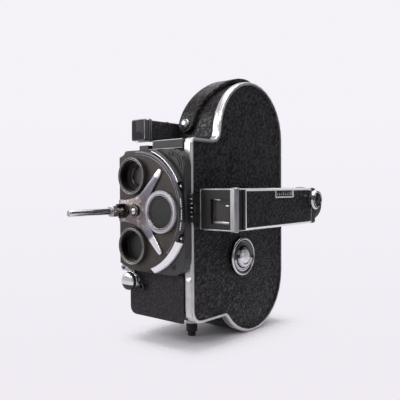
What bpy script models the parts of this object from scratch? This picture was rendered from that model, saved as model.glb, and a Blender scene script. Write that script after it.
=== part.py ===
"""A spring-driven cine camera with a three-port turret, side finder and eye-level focuser.

Lengths below are millimetres and become metres when a piece is made. The body stands on
z = 0, its front looks along -Y, and the film door is on the +X side. Until the last step
x = 0 is the body's middle plane and y = 0 its front face.
"""
import math

import bmesh
import bpy
from mathutils import Matrix, Vector

MM = 0.001

# Shared fits
GAP = 0.3               # between faces that touch on the real camera
BORE_CLEARANCE = 0.3    # round a shaft in its hole
MIN_RADIUS = 0.4        # smallest corner drawn

# Body, seen from the film door
BODY_HALF_WIDTH = 34.1
CHAMBER_LEFT = -9.0     # plane between film chamber and spring motor
LID_SEAT = 27.0         # plane where the film door meets the chamber
HUMP_RADIUS = 47.7
HUMP_Y = 81.8
HUMP_SPACING = 120.6
DECK_TOP = 163.5
DECK_BOTTOM = 20.3
TOP_FILLET = 7.0
BOTTOM_FILLET = 3.0
FRONT_TOP_CORNER = 4.0
FRONT_BOTTOM_CORNER = 11.5
CHAMBER_EDGE_ROUND = 3.0
CHAMBER_WALL = 1.9
CHAMBER_FLOOR = 3.0
LEATHER = 0.6
TRIM_LIP = 0.7

# Spring motor case on the crank side
MOTOR_TOP = 155.5
MOTOR_WALL = 2.2
MOTOR_FRONT_ROUND = 4.0
MOTOR_REAR_ROUND = 26.0
MOTOR_LOW_EDGE = 6.0
PANEL_BORDER = 3.2
PANEL_RECESS = 1.2

# Film door
LID_WALL = 2.8
LID_EDGE_ROUND = 1.5
LID_BORDER = 2.4
LID_RECESS = 2.2
LID_SKIN = 1.2
LOCK_Y = 64.8
LOCK_Z = 67.0
LOCK_RADIUS = 16.0
LOCK_KNOB_RADIUS = 9.2
LOCK_SPINDLE_RADIUS = 3.0
LOCK_BOLT_LENGTH = 30.0
LOCK_BOLT_WIDTH = 6.0
LOCK_BOLT_THICKNESS = 2.0

# Front plate and turret
PLATE_THICKNESS = 6.7
PLATE_BOTTOM = 58.3
PLATE_TOP = 155.6
PLATE_RIGHT_ROUND = 14.0
PLATE_LOW_LEFT_ROUND = 8.0
PLATE_HIGH_LEFT_ROUND = 4.0
TURRET_X = -13.5
TURRET_Z = 107.1
TURRET_RADIUS = 48.0
TURRET_FLAT = 21.4
TURRET_THICKNESS = 3.7
PORT_CIRCLE = 28.0
PORT_ANGLE = 97.2
PORT_BORE = 12.7
PORT_RING_RADIUS = 14.7
PORT_RING_HEIGHT = 3.7
TAKING_RING_RADIUS = 16.3
TAKING_RING_HEIGHT = 3.2
SPIDER_THICKNESS = 1.6
ARM_ANGLE = 50.0
ARM_REACH = 42.0
ARM_BASE = 5.9
ARM_WAIST = 3.8
ARM_TIP = 2.2
TAIL_HALF_WIDTH = 9.2
HUB_RADIUS = 4.0
HUB_HEAD_RADIUS = 4.5
HUB_HEAD_HEIGHT = 2.2
GUARD_WIDTH = 2.6
GUARD_CLEARANCE = 0.6
GUARD_HEIGHT = 4.3
GUARD_START = 70.0
GUARD_END = 27.0

# Folding turret lever
LEVER_OFFSET = 12.0     # pivot's distance from the turret's centre
LEVER_RISE = 5.8        # pivot's height above the spider
LEVER_REACH = 49.0
LEVER_RADIUS = 2.5
LEVER_COLLAR_RADIUS = 4.4
LEVER_COLLAR_LENGTH = 6.0
LEVER_EYE_RADIUS = 3.2
LEVER_EYE_HALF = 3.1
LEVER_FOLD_ANGLE = 34.5
FORK_EAR = 1.4
FORK_BASE = 1.5

# Shutter behind the front plate
SHUTTER_X = 2.0
SHUTTER_Z = 92.0
SHUTTER_RADIUS = 27.0
SHUTTER_SECTOR = 190.0
SHUTTER_MIDDLE_ANGLE = 230.0
SHUTTER_BLADE = 0.8
SHUTTER_SHAFT = 2.0
SHUTTER_POCKET = 3.1
APERTURE_RADIUS = 9.0
FOCUS_PORT_DEPTH = 2.5

# Front controls
RELEASE_EDGE = 7.1      # from the crank side
RELEASE_Z = 49.5
RELEASE_RADIUS = 7.0
RELEASE_TRAVEL = 3.0
RELEASE_HEAD = 4.2
RELEASE_CLEARANCE = 2.0
RELEASE_STEM = 2.2
SOCKET_OFFSET = 10.2    # from the release
SOCKET_Z = 45.2
SOCKET_RADIUS = 3.0
SOCKET_HEIGHT = 3.3
TIME_PIVOT_OFFSET = 2.5
TIME_PIVOT_Z = 55.6
TIME_END_OFFSET = 13.3
TIME_END_Z = 58.8
TIME_HALF_WIDTH = 1.5
TIME_EYE = 2.6
TIME_THICKNESS = 1.4

# Eye-level focuser on top
SCOPE_LEFT = -30.0
SCOPE_RIGHT = -14.7
SCOPE_BOTTOM = 164.0
SCOPE_TOP = 181.3
SCOPE_FRONT = -1.0
SCOPE_HEAD = 4.0
SCOPE_COLLAR = 3.0
SCOPE_COLLAR_LIP = 0.7
SCOPE_TUBE_INSET = 0.4
SCOPE_TUBE_LENGTH = 105.4
SCOPE_EYEPIECE = 15.6
SCOPE_EYEPIECE_RADIUS = 8.0
SCOPE_FRAME = 2.2
SCOPE_FRAME_DEPTH = 1.2
RAIL_FRONT = 25.0
RAIL_LENGTH = 65.0
RAIL_WIDTH = 9.0
RAIL_POST = 10.0
RAIL_BASE = 1.6
WINDOW_LEFT = -20.0
WINDOW_RIGHT = -10.0
WINDOW_FRONT = -2.0
WINDOW_LENGTH = 10.0
WINDOW_HEIGHT = 3.6

# Carrying strap over the upper hump
STRAP_X = 0.0
STRAP_WIDTH = 16.6
STRAP_MIDDLE_WIDTH = 20.0
STRAP_SWAY = 15.6
STRAP_THICKNESS = 2.6
STRAP_END_LIFT = 1.0
STRAP_TOP_LIFT = 1.7
STRAP_END_ANGLE = 176.0
STUD_ANGLE = 168.0
STUD_RADIUS = 4.2
STUD_SHANK = 1.6
STUD_DOME = 1.8

# Underside
FOOT_RADIUS = 4.0
FRONT_FOOT = (1.0, 37.2)
MOTOR_FOOT = (-27.0, 92.0)
TRIPOD_X = -18.0
TRIPOD_Y = 26.0
TRIPOD_RADIUS = 13.0
TRIPOD_BORE = 4.8
TRIPOD_HEIGHT = 3.2

# Side finder on the film door
FINDER_STANDOFF = 5.0
FINDER_WIDTH = 34.3
FINDER_BOTTOM = 93.8
FINDER_HEIGHT = 30.9
FINDER_FRONT = 3.8
FINDER_REAR = 113.0
FINDER_WALL = 1.6
FINDER_ROUND = 1.8
BEZEL_DEPTH = 4.4
BEZEL_BAR = 1.0
POST_WIDTH = 5.4
POST_PROUD = 0.6
MASK_STEP = 0.8
BAND_LENGTH = 3.2
PANEL_FRONT_BORDER = 1.3
PANEL_EDGE_BORDER = 1.9
PANEL_REAR = 107.6
PANE_SHIFT = 3.65
PANE_WIDTH = 17.0
PANE_HEIGHT = 18.4
PANE_LOW = 4.8
PANE_THICKNESS = 1.5
SCALE_FRONT = 56.0
SCALE_LENGTH = 26.0
SCALE_HEIGHT = 4.8
SCALE_FRAME = 1.0
WHEEL_Y = 117.0
WHEEL_Z = 114.3
WHEEL_RADIUS = 8.5
WHEEL_HEIGHT = 4.3
WHEEL_SHAFT = 1.6
WHEEL_SHAFT_LENGTH = 6.0
REAR_BLOCK = 6.4
EYEPIECE_RADIUS = 15.6
EYEPIECE_BORE = 7.0
EYEPIECE_LENGTH = 16.0
HINGE_Y = 0.5
HINGE_RADIUS = 2.0
HINGE_BOTTOM = 99.5
HINGE_HEIGHT = 21.5
HINGE_KNUCKLE = 8.0
HINGE_PIN = 0.8
LEAF_END = 21.0
HINGE_FRONT = -4.0
HINGE_BACK = 5.0
HINGE_BASE = 0.6
BRACKET_INSET = 33.5    # from the body's rear
BRACKET_LENGTH = 15.0
BRACKET_BOTTOM = 100.0
BRACKET_HEIGHT = 18.0

# Film path inside the chamber
SPOOL_CLEARANCE = 1.6   # between a spool's rim and the chamber wall
SPOOL_CORE = 16.0
SPOOL_FLANGE = 1.2
FILM_WIDTH = 16.4
SPINDLE_RADIUS = 3.6
SPINDLE_ROOT = 2.5
SPROCKET_Y = 34.0
SPROCKET_HALF_SPACING = 21.0
SPROCKET_RADIUS = 9.7
SPROCKET_TOOTH = 1.1
SPROCKET_SHAFT = 2.5
SPROCKET_GEAR = 12.0
SPROCKET_TEETH = 8
GATE_WIDTH = 16.4
GATE_HEIGHT = 44.0
GATE_THICKNESS = 3.4
APERTURE_WIDTH = 10.3
APERTURE_HEIGHT = 7.5
PRESSURE_THICKNESS = 2.3
PRESSURE_HEIGHT = 30.0
PRESSURE_FILM_GAP = 0.7

# Spring motor
BARREL_Z = 90.0
BARREL_RADIUS = 34.0
BARREL_END_CLEARANCE = 0.6
BARREL_TEETH = 27
ARBOR_RADIUS = 4.0
GEAR_THICKNESS = 3.0
GEAR_STANDOFF = 2.6     # between the gears and the wall to the film chamber
GEAR_TIP_CLEARANCE = 0.15
GEAR_TOOTH = 1.3
THIN_SHAFT = 1.6

# Crank side controls
CRANK_REACH = 36.0
CRANK_ANGLE = 225.0
CRANK_HUB_RADIUS = 10.0
CRANK_HUB_HEIGHT = 4.0
CRANK_ARM_THICKNESS = 2.7
CRANK_ARM_HALF = 6.0
CRANK_TIP_HALF = 4.6
GRIP_RADIUS = 5.5
GRIP_LENGTH = 17.0
SPEED_Y = 26.0
SPEED_Z = 58.0
SPEED_RADIUS = 9.0
SPEED_HEIGHT = 5.6

# Places that follow from the sizes above
LOWER_Z = HUMP_RADIUS
UPPER_Z = HUMP_RADIUS + HUMP_SPACING
REAR_Y = HUMP_Y + HUMP_RADIUS
LEATHER_BED = LEATHER + GAP
CHAMBER_INSET = LEATHER_BED + CHAMBER_WALL
CHAMBER_INSIDE = CHAMBER_LEFT + CHAMBER_FLOOR
MOTOR_RIGHT = CHAMBER_LEFT - GAP
MOTOR_INSIDE = -BODY_HALF_WIDTH + PANEL_RECESS + MOTOR_WALL
LID_LEFT = LID_SEAT + GAP
LID_BED = BODY_HALF_WIDTH - LID_RECESS
LID_INSIDE = LID_BED - LID_SKIN
LID_FACE = LID_BED + GAP + LEATHER
SIDE_SURFACE = -BODY_HALF_WIDTH - GAP / 2
RELEASE_X = -BODY_HALF_WIDTH + RELEASE_EDGE
SOCKET_X = RELEASE_X + SOCKET_OFFSET
TIME_PIVOT_X = RELEASE_X - TIME_PIVOT_OFFSET
TIME_END_X = RELEASE_X - TIME_END_OFFSET
PLATE_RIGHT = BODY_HALF_WIDTH - GAP
PLATE_BACK = -GAP
PLATE_FRONT = PLATE_BACK - PLATE_THICKNESS
TURRET_BACK = PLATE_FRONT - GAP
TURRET_FRONT = TURRET_BACK - TURRET_THICKNESS
SPIDER_BACK = TURRET_FRONT - GAP
SPIDER_FRONT = SPIDER_BACK - SPIDER_THICKNESS
LEVER_Y = SPIDER_FRONT - LEVER_RISE
LEVER_X = TURRET_X - LEVER_OFFSET
TAKING_X = TURRET_X + PORT_CIRCLE
LEATHER_FRONT = PLATE_BACK - LEATHER
FRONT_SEAT = LEATHER_FRONT - GAP
POCKET_FLOOR = PLATE_BACK - SHUTTER_POCKET
BRACKET_Y = REAR_Y - BRACKET_INSET
FINDER_LEFT = BODY_HALF_WIDTH + FINDER_STANDOFF
FINDER_RIGHT = FINDER_LEFT + FINDER_WIDTH
FINDER_TOP = FINDER_BOTTOM + FINDER_HEIGHT
PANE_X = (FINDER_LEFT + FINDER_RIGHT - POST_WIDTH) / 2 + PANE_SHIFT
BEZEL_BACK = FINDER_FRONT + BEZEL_DEPTH
HOUSING_FRONT = BEZEL_BACK + GAP + BAND_LENGTH + GAP
HINGE_X = (BODY_HALF_WIDTH + FINDER_LEFT) / 2
SPROCKET_HIGH = TURRET_Z + SPROCKET_HALF_SPACING
SPROCKET_LOW = TURRET_Z - SPROCKET_HALF_SPACING
IDLER_GEAR = SPROCKET_HALF_SPACING - SPROCKET_GEAR
BARREL_GEAR = SPROCKET_GEAR * BARREL_TEETH / SPROCKET_TEETH
BARREL_Y = SPROCKET_Y + math.sqrt((BARREL_GEAR + SPROCKET_GEAR) ** 2 - (BARREL_Z - SPROCKET_LOW) ** 2)
SHAFT_RIGHT = MOTOR_RIGHT - GAP
GEAR_RIGHT = MOTOR_RIGHT - GEAR_STANDOFF
GEAR_LEFT = GEAR_RIGHT - GEAR_THICKNESS
BARREL_LEFT = MOTOR_INSIDE + BARREL_END_CLEARANCE
GATE_FRONT = CHAMBER_INSET + GAP
FILM_PLANE = GATE_FRONT + GATE_THICKNESS
SPOOL_RADIUS = HUMP_RADIUS - CHAMBER_INSET - SPOOL_CLEARANCE
SPOOL_LEFT = TAKING_X - FILM_WIDTH / 2 - SPOOL_FLANGE
SPOOL_RIGHT = SPOOL_LEFT + FILM_WIDTH + 2 * SPOOL_FLANGE


# Finishes

def finish(name, colour, roughness, metallic):
    """A plain surface: colour, roughness and metallic value."""
    material = bpy.data.materials.new(name)
    material.use_nodes = True
    shader = material.node_tree.nodes["Principled BSDF"]
    shader.inputs["Base Color"].default_value = (*colour, 1.0)
    shader.inputs["Roughness"].default_value = roughness
    shader.inputs["Metallic"].default_value = metallic
    return material


FINISHES = {
    "leatherette": finish("leatherette", (0.022, 0.022, 0.024), 0.55, 0.0),
    "strap_leather": finish("strap_leather", (0.030, 0.024, 0.022), 0.45, 0.0),
    "chrome": finish("chrome", (0.80, 0.80, 0.82), 0.12, 1.0),
    "satin_nickel": finish("satin_nickel", (0.56, 0.54, 0.52), 0.30, 1.0),
    "turret_bronze": finish("turret_bronze", (0.085, 0.078, 0.070), 0.42, 0.6),
    "black_enamel": finish("black_enamel", (0.020, 0.020, 0.022), 0.35, 0.0),
    "cast_alloy": finish("cast_alloy", (0.50, 0.50, 0.51), 0.38, 1.0),
    "steel": finish("steel", (0.58, 0.58, 0.58), 0.28, 1.0),
    "brass": finish("brass", (0.62, 0.47, 0.22), 0.30, 1.0),
    "optical_glass": finish("optical_glass", (0.10, 0.11, 0.12), 0.03, 0.0),
    "hard_rubber": finish("hard_rubber", (0.018, 0.018, 0.018), 0.62, 0.0),
}


# Placing pieces

PIVOTS = {}


def pivot(name, place=(0.0, 0.0, 0.0), parent=None):
    """An empty on a joint's axis; the pieces that move with it are parented to it."""
    empty = bpy.data.objects.new("pivot_" + name, None)
    bpy.context.scene.collection.objects.link(empty)
    spot = Vector(place) * MM
    empty["spot"] = tuple(spot)
    if parent:
        empty.parent = PIVOTS[parent]
        spot = spot - Vector(PIVOTS[parent]["spot"])
    empty.location = spot
    PIVOTS[name] = empty


def add(name, bm, look, body="camera", cutter=False):
    """Make an object of a mesh drawn in millimetres, with its origin on its body's pivot."""
    anchor = Vector(PIVOTS[body]["spot"])
    bmesh.ops.recalc_face_normals(bm, faces=bm.faces)
    bmesh.ops.scale(bm, vec=(MM, MM, MM), verts=bm.verts)
    bmesh.ops.translate(bm, vec=-anchor, verts=bm.verts)
    mesh = bpy.data.meshes.new(name)
    bm.to_mesh(mesh)
    bm.free()
    piece = bpy.data.objects.new(name, mesh)
    bpy.context.scene.collection.objects.link(piece)
    piece.parent = PIVOTS[body]
    if cutter:
        piece.hide_render = True
        piece.display_type = "WIRE"
        return piece
    mesh.shade_smooth()
    mesh.set_sharp_from_angle(angle=math.radians(32))
    mesh.materials.append(FINISHES[look])
    return piece


def shape(piece, bm, body="camera", operation="DIFFERENCE"):
    """Cut the drawn shape out of a piece, or join it on."""
    count = len(piece.modifiers) + 1
    tool = add(f"tool_{piece.name}_{count}", bm, None, body, cutter=True)
    modifier = piece.modifiers.new(f"shape {count}", "BOOLEAN")
    modifier.operation = operation
    modifier.solver = "EXACT"
    modifier.object = tool


def cut(piece, bm, body="camera"):
    """Cut the drawn shape out of a piece."""
    shape(piece, bm, body)


def join(piece, bm, body="camera"):
    """Join the drawn shape on to a piece."""
    shape(piece, bm, body, "UNION")


def soften(piece, width, segments=2):
    """Round the sharp edges of a piece."""
    modifier = piece.modifiers.new("soft edges", "BEVEL")
    modifier.width = width * MM
    modifier.segments = segments
    modifier.limit_method = "ANGLE"
    modifier.angle_limit = math.radians(40)


# Drawing shapes

def arc(centre, radius, start, end, steps):
    """Points on an arc, angles in degrees, both ends included."""
    points = []
    for step in range(steps + 1):
        angle = math.radians(start + (end - start) * step / steps)
        points.append((centre[0] + radius * math.cos(angle), centre[1] + radius * math.sin(angle)))
    return points


def rounded_rectangle(low, high, radii, steps=3):
    """Corners in the order low-low, high-low, high-high, low-high; radii is one value or four."""
    if not isinstance(radii, (tuple, list)):
        radii = (radii,) * 4
    radii = [max(radius, MIN_RADIUS) for radius in radii]
    corners = [
        (low[0] + radii[0], low[1] + radii[0], 180),
        (high[0] - radii[1], low[1] + radii[1], 270),
        (high[0] - radii[2], high[1] - radii[2], 0),
        (low[0] + radii[3], high[1] - radii[3], 90),
    ]
    points = []
    for (u, v, start), radius in zip(corners, radii):
        points += arc((u, v), radius, start, start + 90, steps)
    return points


def place_points(outline, axis, along):
    """Lift a flat outline to the plane at a place along an axis."""
    if axis == "x":
        return [(along, u, v) for u, v in outline]
    if axis == "y":
        return [(u, along, v) for u, v in outline]
    return [(u, v, along) for u, v in outline]


def loft(bm, rings, closed=False):
    """Skin rings of equal count; the ends are capped, or joined to each other if closed."""
    loops = [[bm.verts.new(point) for point in ring] for ring in rings]
    pairs = list(zip(loops, loops[1:]))
    if closed:
        pairs.append((loops[-1], loops[0]))
    count = len(loops[0])
    for first, second in pairs:
        for index in range(count):
            after = (index + 1) % count
            bm.faces.new((first[index], first[after], second[after], second[index]))
    if not closed:
        bm.faces.new(list(reversed(loops[0])))
        bm.faces.new(loops[-1])


def prism(bm, outline, axis, low, high):
    """A straight piece with the given outline."""
    loft(bm, [place_points(outline, axis, low), place_points(outline, axis, high)])


def box(bm, low, high):
    """A block between two corners."""
    prism(bm, [(low[0], low[1]), (high[0], low[1]), (high[0], high[1]), (low[0], high[1])],
          "z", low[2], high[2])


def turn(bm, profile, axis, centre, sides=28, bored=False):
    """Turn (radius, place along the axis) pairs round an axis through centre."""
    rings = []
    for radius, along in profile:
        circle = [
            (centre[0] + radius * math.cos(2 * math.pi * side / sides),
             centre[1] + radius * math.sin(2 * math.pi * side / sides))
            for side in range(sides)
        ]
        rings.append(place_points(circle, axis, along))
    loft(bm, rings, closed=bored)


def gear_circle(centre, radius, teeth, points_per_tooth, high_points, depth):
    """A toothed outline; of each tooth's points the first few stand at the full radius."""
    points = []
    for index in range(teeth * points_per_tooth):
        angle = 2 * math.pi * index / (teeth * points_per_tooth)
        reach = radius if index % points_per_tooth < high_points else radius - depth
        points.append((centre[0] + reach * math.cos(angle), centre[1] + reach * math.sin(angle)))
    return points


def circle_points(centre, radius, count):
    """A plain circle with the same count of points as a toothed one."""
    return gear_circle(centre, radius, count, 1, 1, 0.0)


def stack(bm, axis, levels):
    """Loft outlines of one count along an axis, from (outline, place) pairs."""
    loft(bm, [place_points(outline, axis, along) for outline, along in levels])


def polar(angle, radius):
    """A point round the turret's centre, in the turret's plane."""
    turn_angle = math.radians(angle)
    return (TURRET_X + radius * math.cos(turn_angle), TURRET_Z + radius * math.sin(turn_angle))


PORTS = {
    "upper": polar(PORT_ANGLE, PORT_CIRCLE),
    "lower": polar(-PORT_ANGLE, PORT_CIRCLE),
    "taking": polar(0.0, PORT_CIRCLE),
}


# Body outlines

def fillet_centre(deck, sign, radius, hump_z):
    """Where a hollow corner sits between a front deck and a hump."""
    z = deck + sign * radius
    reach = HUMP_RADIUS + radius
    return (HUMP_Y - math.sqrt(reach ** 2 - (z - hump_z) ** 2), z)


def chamber_outline(inset=0.0):
    """Side view of the film chamber as (y, z), drawn in by inset."""
    hump = HUMP_RADIUS - inset
    top_radius = max(FRONT_TOP_CORNER - inset, MIN_RADIUS)
    low_radius = max(FRONT_BOTTOM_CORNER - inset, MIN_RADIUS)
    top = fillet_centre(DECK_TOP, 1, TOP_FILLET, UPPER_Z)
    low = fillet_centre(DECK_BOTTOM, -1, BOTTOM_FILLET, LOWER_Z)
    top_angle = math.degrees(math.atan2(UPPER_Z - top[1], HUMP_Y - top[0]))
    low_angle = math.degrees(math.atan2(LOWER_Z - low[1], HUMP_Y - low[0]))
    high_deck = DECK_TOP - inset - top_radius
    low_deck = DECK_BOTTOM + inset + low_radius
    points = arc((inset + top_radius, high_deck), top_radius, 180, 90, 2)
    points += arc(top, TOP_FILLET + inset, -90, top_angle, 3)
    points += arc((HUMP_Y, UPPER_Z), hump, 180 + top_angle, 0, 17)[1:]
    points += arc((HUMP_Y, LOWER_Z), hump, 0, -90, 8)
    points += arc((HUMP_Y, LOWER_Z), hump, -90, low_angle - 180, 5)[1:]
    points += arc(low, BOTTOM_FILLET + inset, low_angle, 90, 2)[1:]
    points += arc((inset + low_radius, low_deck), low_radius, 270, 180, 4)
    return points


FRONT_CORNER_COUNT = (2, 4)    # points of the two front corners that the leather leaves bare


def motor_outline(inset=0.0, lift=0.0):
    """Side view of the spring motor's case as (y, z), drawn in by inset, its bottom lifted."""
    front = MOTOR_FRONT_ROUND - inset
    rear = MOTOR_REAR_ROUND - inset
    return rounded_rectangle((inset, DECK_BOTTOM + inset + lift), (REAR_Y - inset, MOTOR_TOP - inset),
                             (front, rear, rear, front), 4)


# Body

def film_chamber_case():
    """Open pan with a rounded outer edge and a sunk bed for its leather between two lips."""
    levels = []
    for step in range(3):
        angle = math.radians(45 * step)
        levels.append((CHAMBER_EDGE_ROUND * (1 - math.sin(angle)),
                       CHAMBER_LEFT + CHAMBER_EDGE_ROUND * (1 - math.cos(angle))))
    bed_start = CHAMBER_LEFT + CHAMBER_EDGE_ROUND + TRIM_LIP
    bed_end = LID_SEAT - TRIM_LIP
    levels += [(0.0, bed_start), (LEATHER_BED, bed_start), (LEATHER_BED, bed_end), (0.0, bed_end),
               (0.0, LID_SEAT), (CHAMBER_INSET, LID_SEAT), (CHAMBER_INSET, CHAMBER_INSIDE)]
    bm = bmesh.new()
    stack(bm, "x", [(chamber_outline(inset), x) for inset, x in levels])
    case = add("film_chamber_case", bm, "cast_alloy")
    holes = bmesh.new()
    low, high = CHAMBER_LEFT - 1, CHAMBER_INSIDE + 1
    for z in (UPPER_Z, LOWER_Z):
        turn(holes, [(SPINDLE_ROOT + BORE_CLEARANCE, low), (SPINDLE_ROOT + BORE_CLEARANCE, high)],
             "x", (HUMP_Y, z), 10)
    for z in (SPROCKET_HIGH, SPROCKET_LOW):
        turn(holes, [(SPROCKET_SHAFT + BORE_CLEARANCE, low), (SPROCKET_SHAFT + BORE_CLEARANCE, high)],
             "x", (SPROCKET_Y, z), 10)
    box(holes, (TAKING_X - APERTURE_WIDTH / 2, -1, TURRET_Z - APERTURE_HEIGHT / 2),
        (TAKING_X + APERTURE_WIDTH / 2, CHAMBER_INSET + 1, TURRET_Z + APERTURE_HEIGHT / 2))
    shaft = SHUTTER_SHAFT + BORE_CLEARANCE
    turn(holes, [(shaft, -1), (shaft, CHAMBER_INSET + 1)], "y", (SHUTTER_X, SHUTTER_Z), 10)
    cut(case, holes)


def case_leather():
    """Leather band round the chamber, from the front top corner over both humps to the bottom."""
    start = CHAMBER_LEFT + CHAMBER_EDGE_ROUND + TRIM_LIP + GAP
    end = LID_SEAT - TRIM_LIP - GAP
    first, last = FRONT_CORNER_COUNT
    outer = chamber_outline(0.0)[first:-last]
    inner = chamber_outline(LEATHER)[first:-last]
    rings = []
    for (y0, z0), (y1, z1) in zip(outer, inner):
        rings.append([(start, y0, z0), (end, y0, z0), (end, y1, z1), (start, y1, z1)])
    bm = bmesh.new()
    loft(bm, rings)
    add("case_leather", bm, "leatherette")


def motor_case():
    """Pan for the spring motor: round lower edge, sunk bed for the leather of the crank side."""
    face = -BODY_HALF_WIDTH
    edge = MOTOR_LOW_EDGE
    levels = [(PANEL_BORDER, edge, face + PANEL_RECESS), (PANEL_BORDER, edge, face), (TRIM_LIP, edge, face),
              (0.0, edge * 0.5, face + edge * 0.134), (0.0, edge * 0.134, face + edge * 0.5),
              (0.0, 0.0, face + edge), (0.0, 0.0, MOTOR_RIGHT), (MOTOR_WALL, 0.0, MOTOR_RIGHT),
              (MOTOR_WALL, 0.0, MOTOR_INSIDE)]
    bm = bmesh.new()
    stack(bm, "x", [(motor_outline(inset, lift), x) for inset, lift, x in levels])
    case = add("motor_case", bm, "black_enamel")
    holes = bmesh.new()
    side_holes(holes, face - 1, MOTOR_INSIDE + 1)
    stem = RELEASE_STEM + BORE_CLEARANCE
    turn(holes, [(stem, -1), (stem, MOTOR_WALL + 1)], "y", (RELEASE_X, RELEASE_Z), 10)
    cut(case, holes)


def side_holes(bm, low, high):
    """Holes for the crank and the speed dial through the crank side."""
    spots = [(ARBOR_RADIUS, (BARREL_Y, BARREL_Z)), (SPROCKET_SHAFT, (SPEED_Y, SPEED_Z))]
    for radius, centre in spots:
        reach = radius + BORE_CLEARANCE
        turn(bm, [(reach, low), (reach, high)], "x", centre, 12)


def crank_side_leather():
    """Leather panel of the crank side, in its sunk bed."""
    bed = -BODY_HALF_WIDTH + PANEL_RECESS
    low = bed - GAP - LEATHER
    bm = bmesh.new()
    prism(bm, motor_outline(PANEL_BORDER + GAP, MOTOR_LOW_EDGE), "x", low, bed - GAP)
    panel = add("crank_side_leather", bm, "leatherette")
    holes = bmesh.new()
    side_holes(holes, low - 1, bed + 1)
    cut(panel, holes)


def front_leather():
    """Leather under the front plate, and the strip above it on the chamber."""
    bm = bmesh.new()
    panel = rounded_rectangle((-BODY_HALF_WIDTH + TRIM_LIP, DECK_BOTTOM + TRIM_LIP),
                              (LID_SEAT - TRIM_LIP, PLATE_BOTTOM - GAP), (MOTOR_LOW_EDGE, 1.5, 1.5, 1.5))
    prism(bm, panel, "y", LEATHER_FRONT, PLATE_BACK)
    leather = add("front_leather", bm, "leatherette")
    bm = bmesh.new()
    strip = rounded_rectangle((CHAMBER_LEFT + CHAMBER_EDGE_ROUND, PLATE_TOP + GAP),
                              (LID_SEAT - TRIM_LIP, DECK_TOP - TRIM_LIP), 1.5)
    prism(bm, strip, "y", LEATHER_FRONT, PLATE_BACK)
    add("top_strip_leather", bm, "leatherette")
    hole = bmesh.new()
    stem = RELEASE_STEM + BORE_CLEARANCE
    turn(hole, [(stem, LEATHER_FRONT - 1), (stem, PLATE_BACK + 1)], "y", (RELEASE_X, RELEASE_Z), 10)
    cut(leather, hole)


def foot(name, centre):
    """Turned peg that levels the camera with the lower hump."""
    top = DECK_BOTTOM - GAP
    bm = bmesh.new()
    turn(bm, [(FOOT_RADIUS, top), (FOOT_RADIUS, top - 9), (FOOT_RADIUS + 0.8, top - 10),
              (FOOT_RADIUS + 0.8, 4.0), (FOOT_RADIUS - 0.6, 3.0), (FOOT_RADIUS - 0.6, 0.0)],
         "z", centre, 12)
    add(name, bm, "hard_rubber")


def tripod_boss():
    """Flat round boss with the tripod thread's hole."""
    top = DECK_BOTTOM - GAP
    low = top - TRIPOD_HEIGHT
    bm = bmesh.new()
    turn(bm, [(TRIPOD_BORE, top), (TRIPOD_RADIUS, top), (TRIPOD_RADIUS, low + 0.6),
              (TRIPOD_RADIUS - 0.6, low), (TRIPOD_BORE + 0.5, low), (TRIPOD_BORE, low + 0.5)],
         "z", (TRIPOD_X, TRIPOD_Y), 20, bored=True)
    add("tripod_boss", bm, "satin_nickel")


# Front plate and its controls

def front_plate():
    """Thick plate that carries the turret, hollowed behind for the shutter."""
    bm = bmesh.new()
    outline = rounded_rectangle(
        (-BODY_HALF_WIDTH, PLATE_BOTTOM), (PLATE_RIGHT, PLATE_TOP),
        (PLATE_LOW_LEFT_ROUND, PLATE_RIGHT_ROUND, PLATE_RIGHT_ROUND, PLATE_HIGH_LEFT_ROUND), 5)
    inner = rounded_rectangle(
        (-BODY_HALF_WIDTH + TRIM_LIP, PLATE_BOTTOM + TRIM_LIP),
        (PLATE_RIGHT - TRIM_LIP, PLATE_TOP - TRIM_LIP),
        (PLATE_LOW_LEFT_ROUND - TRIM_LIP, PLATE_RIGHT_ROUND - TRIM_LIP,
         PLATE_RIGHT_ROUND - TRIM_LIP, PLATE_HIGH_LEFT_ROUND - TRIM_LIP), 5)
    stack(bm, "y", [(outline, PLATE_BACK), (outline, PLATE_FRONT + TRIM_LIP), (inner, PLATE_FRONT)])
    plate = add("front_plate", bm, "black_enamel")
    pocket = bmesh.new()
    reach = SHUTTER_RADIUS + 1.4
    turn(pocket, [(reach, POCKET_FLOOR), (reach, 1)], "y", (SHUTTER_X, SHUTTER_Z), 28)
    cut(plate, pocket)
    holes = bmesh.new()
    turn(holes, [(APERTURE_RADIUS, PLATE_FRONT - 1), (APERTURE_RADIUS, POCKET_FLOOR + 0.5)],
         "y", PORTS["taking"], 24)
    bore = HUB_RADIUS + BORE_CLEARANCE
    turn(holes, [(bore, PLATE_FRONT - 1), (bore, POCKET_FLOOR - 0.8)], "y", (TURRET_X, TURRET_Z), 14)
    turn(holes, [(APERTURE_RADIUS, PLATE_FRONT - 1), (APERTURE_RADIUS, PLATE_FRONT + FOCUS_PORT_DEPTH)],
         "y", PORTS["upper"], 24)
    cut(plate, holes)


def turret_guard(name, sign):
    """Bright arc on the plate that the turret's rim runs inside."""
    inner = TURRET_RADIUS + GUARD_CLEARANCE
    outer = inner + GUARD_WIDTH
    start, end = sign * GUARD_START, sign * GUARD_END
    outline = arc((TURRET_X, TURRET_Z), outer, start, end, 10)
    outline += arc((TURRET_X, TURRET_Z), inner, end, start, 10)
    bm = bmesh.new()
    prism(bm, outline, "y", TURRET_BACK - GUARD_HEIGHT, TURRET_BACK)
    add(name, bm, "chrome")


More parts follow.
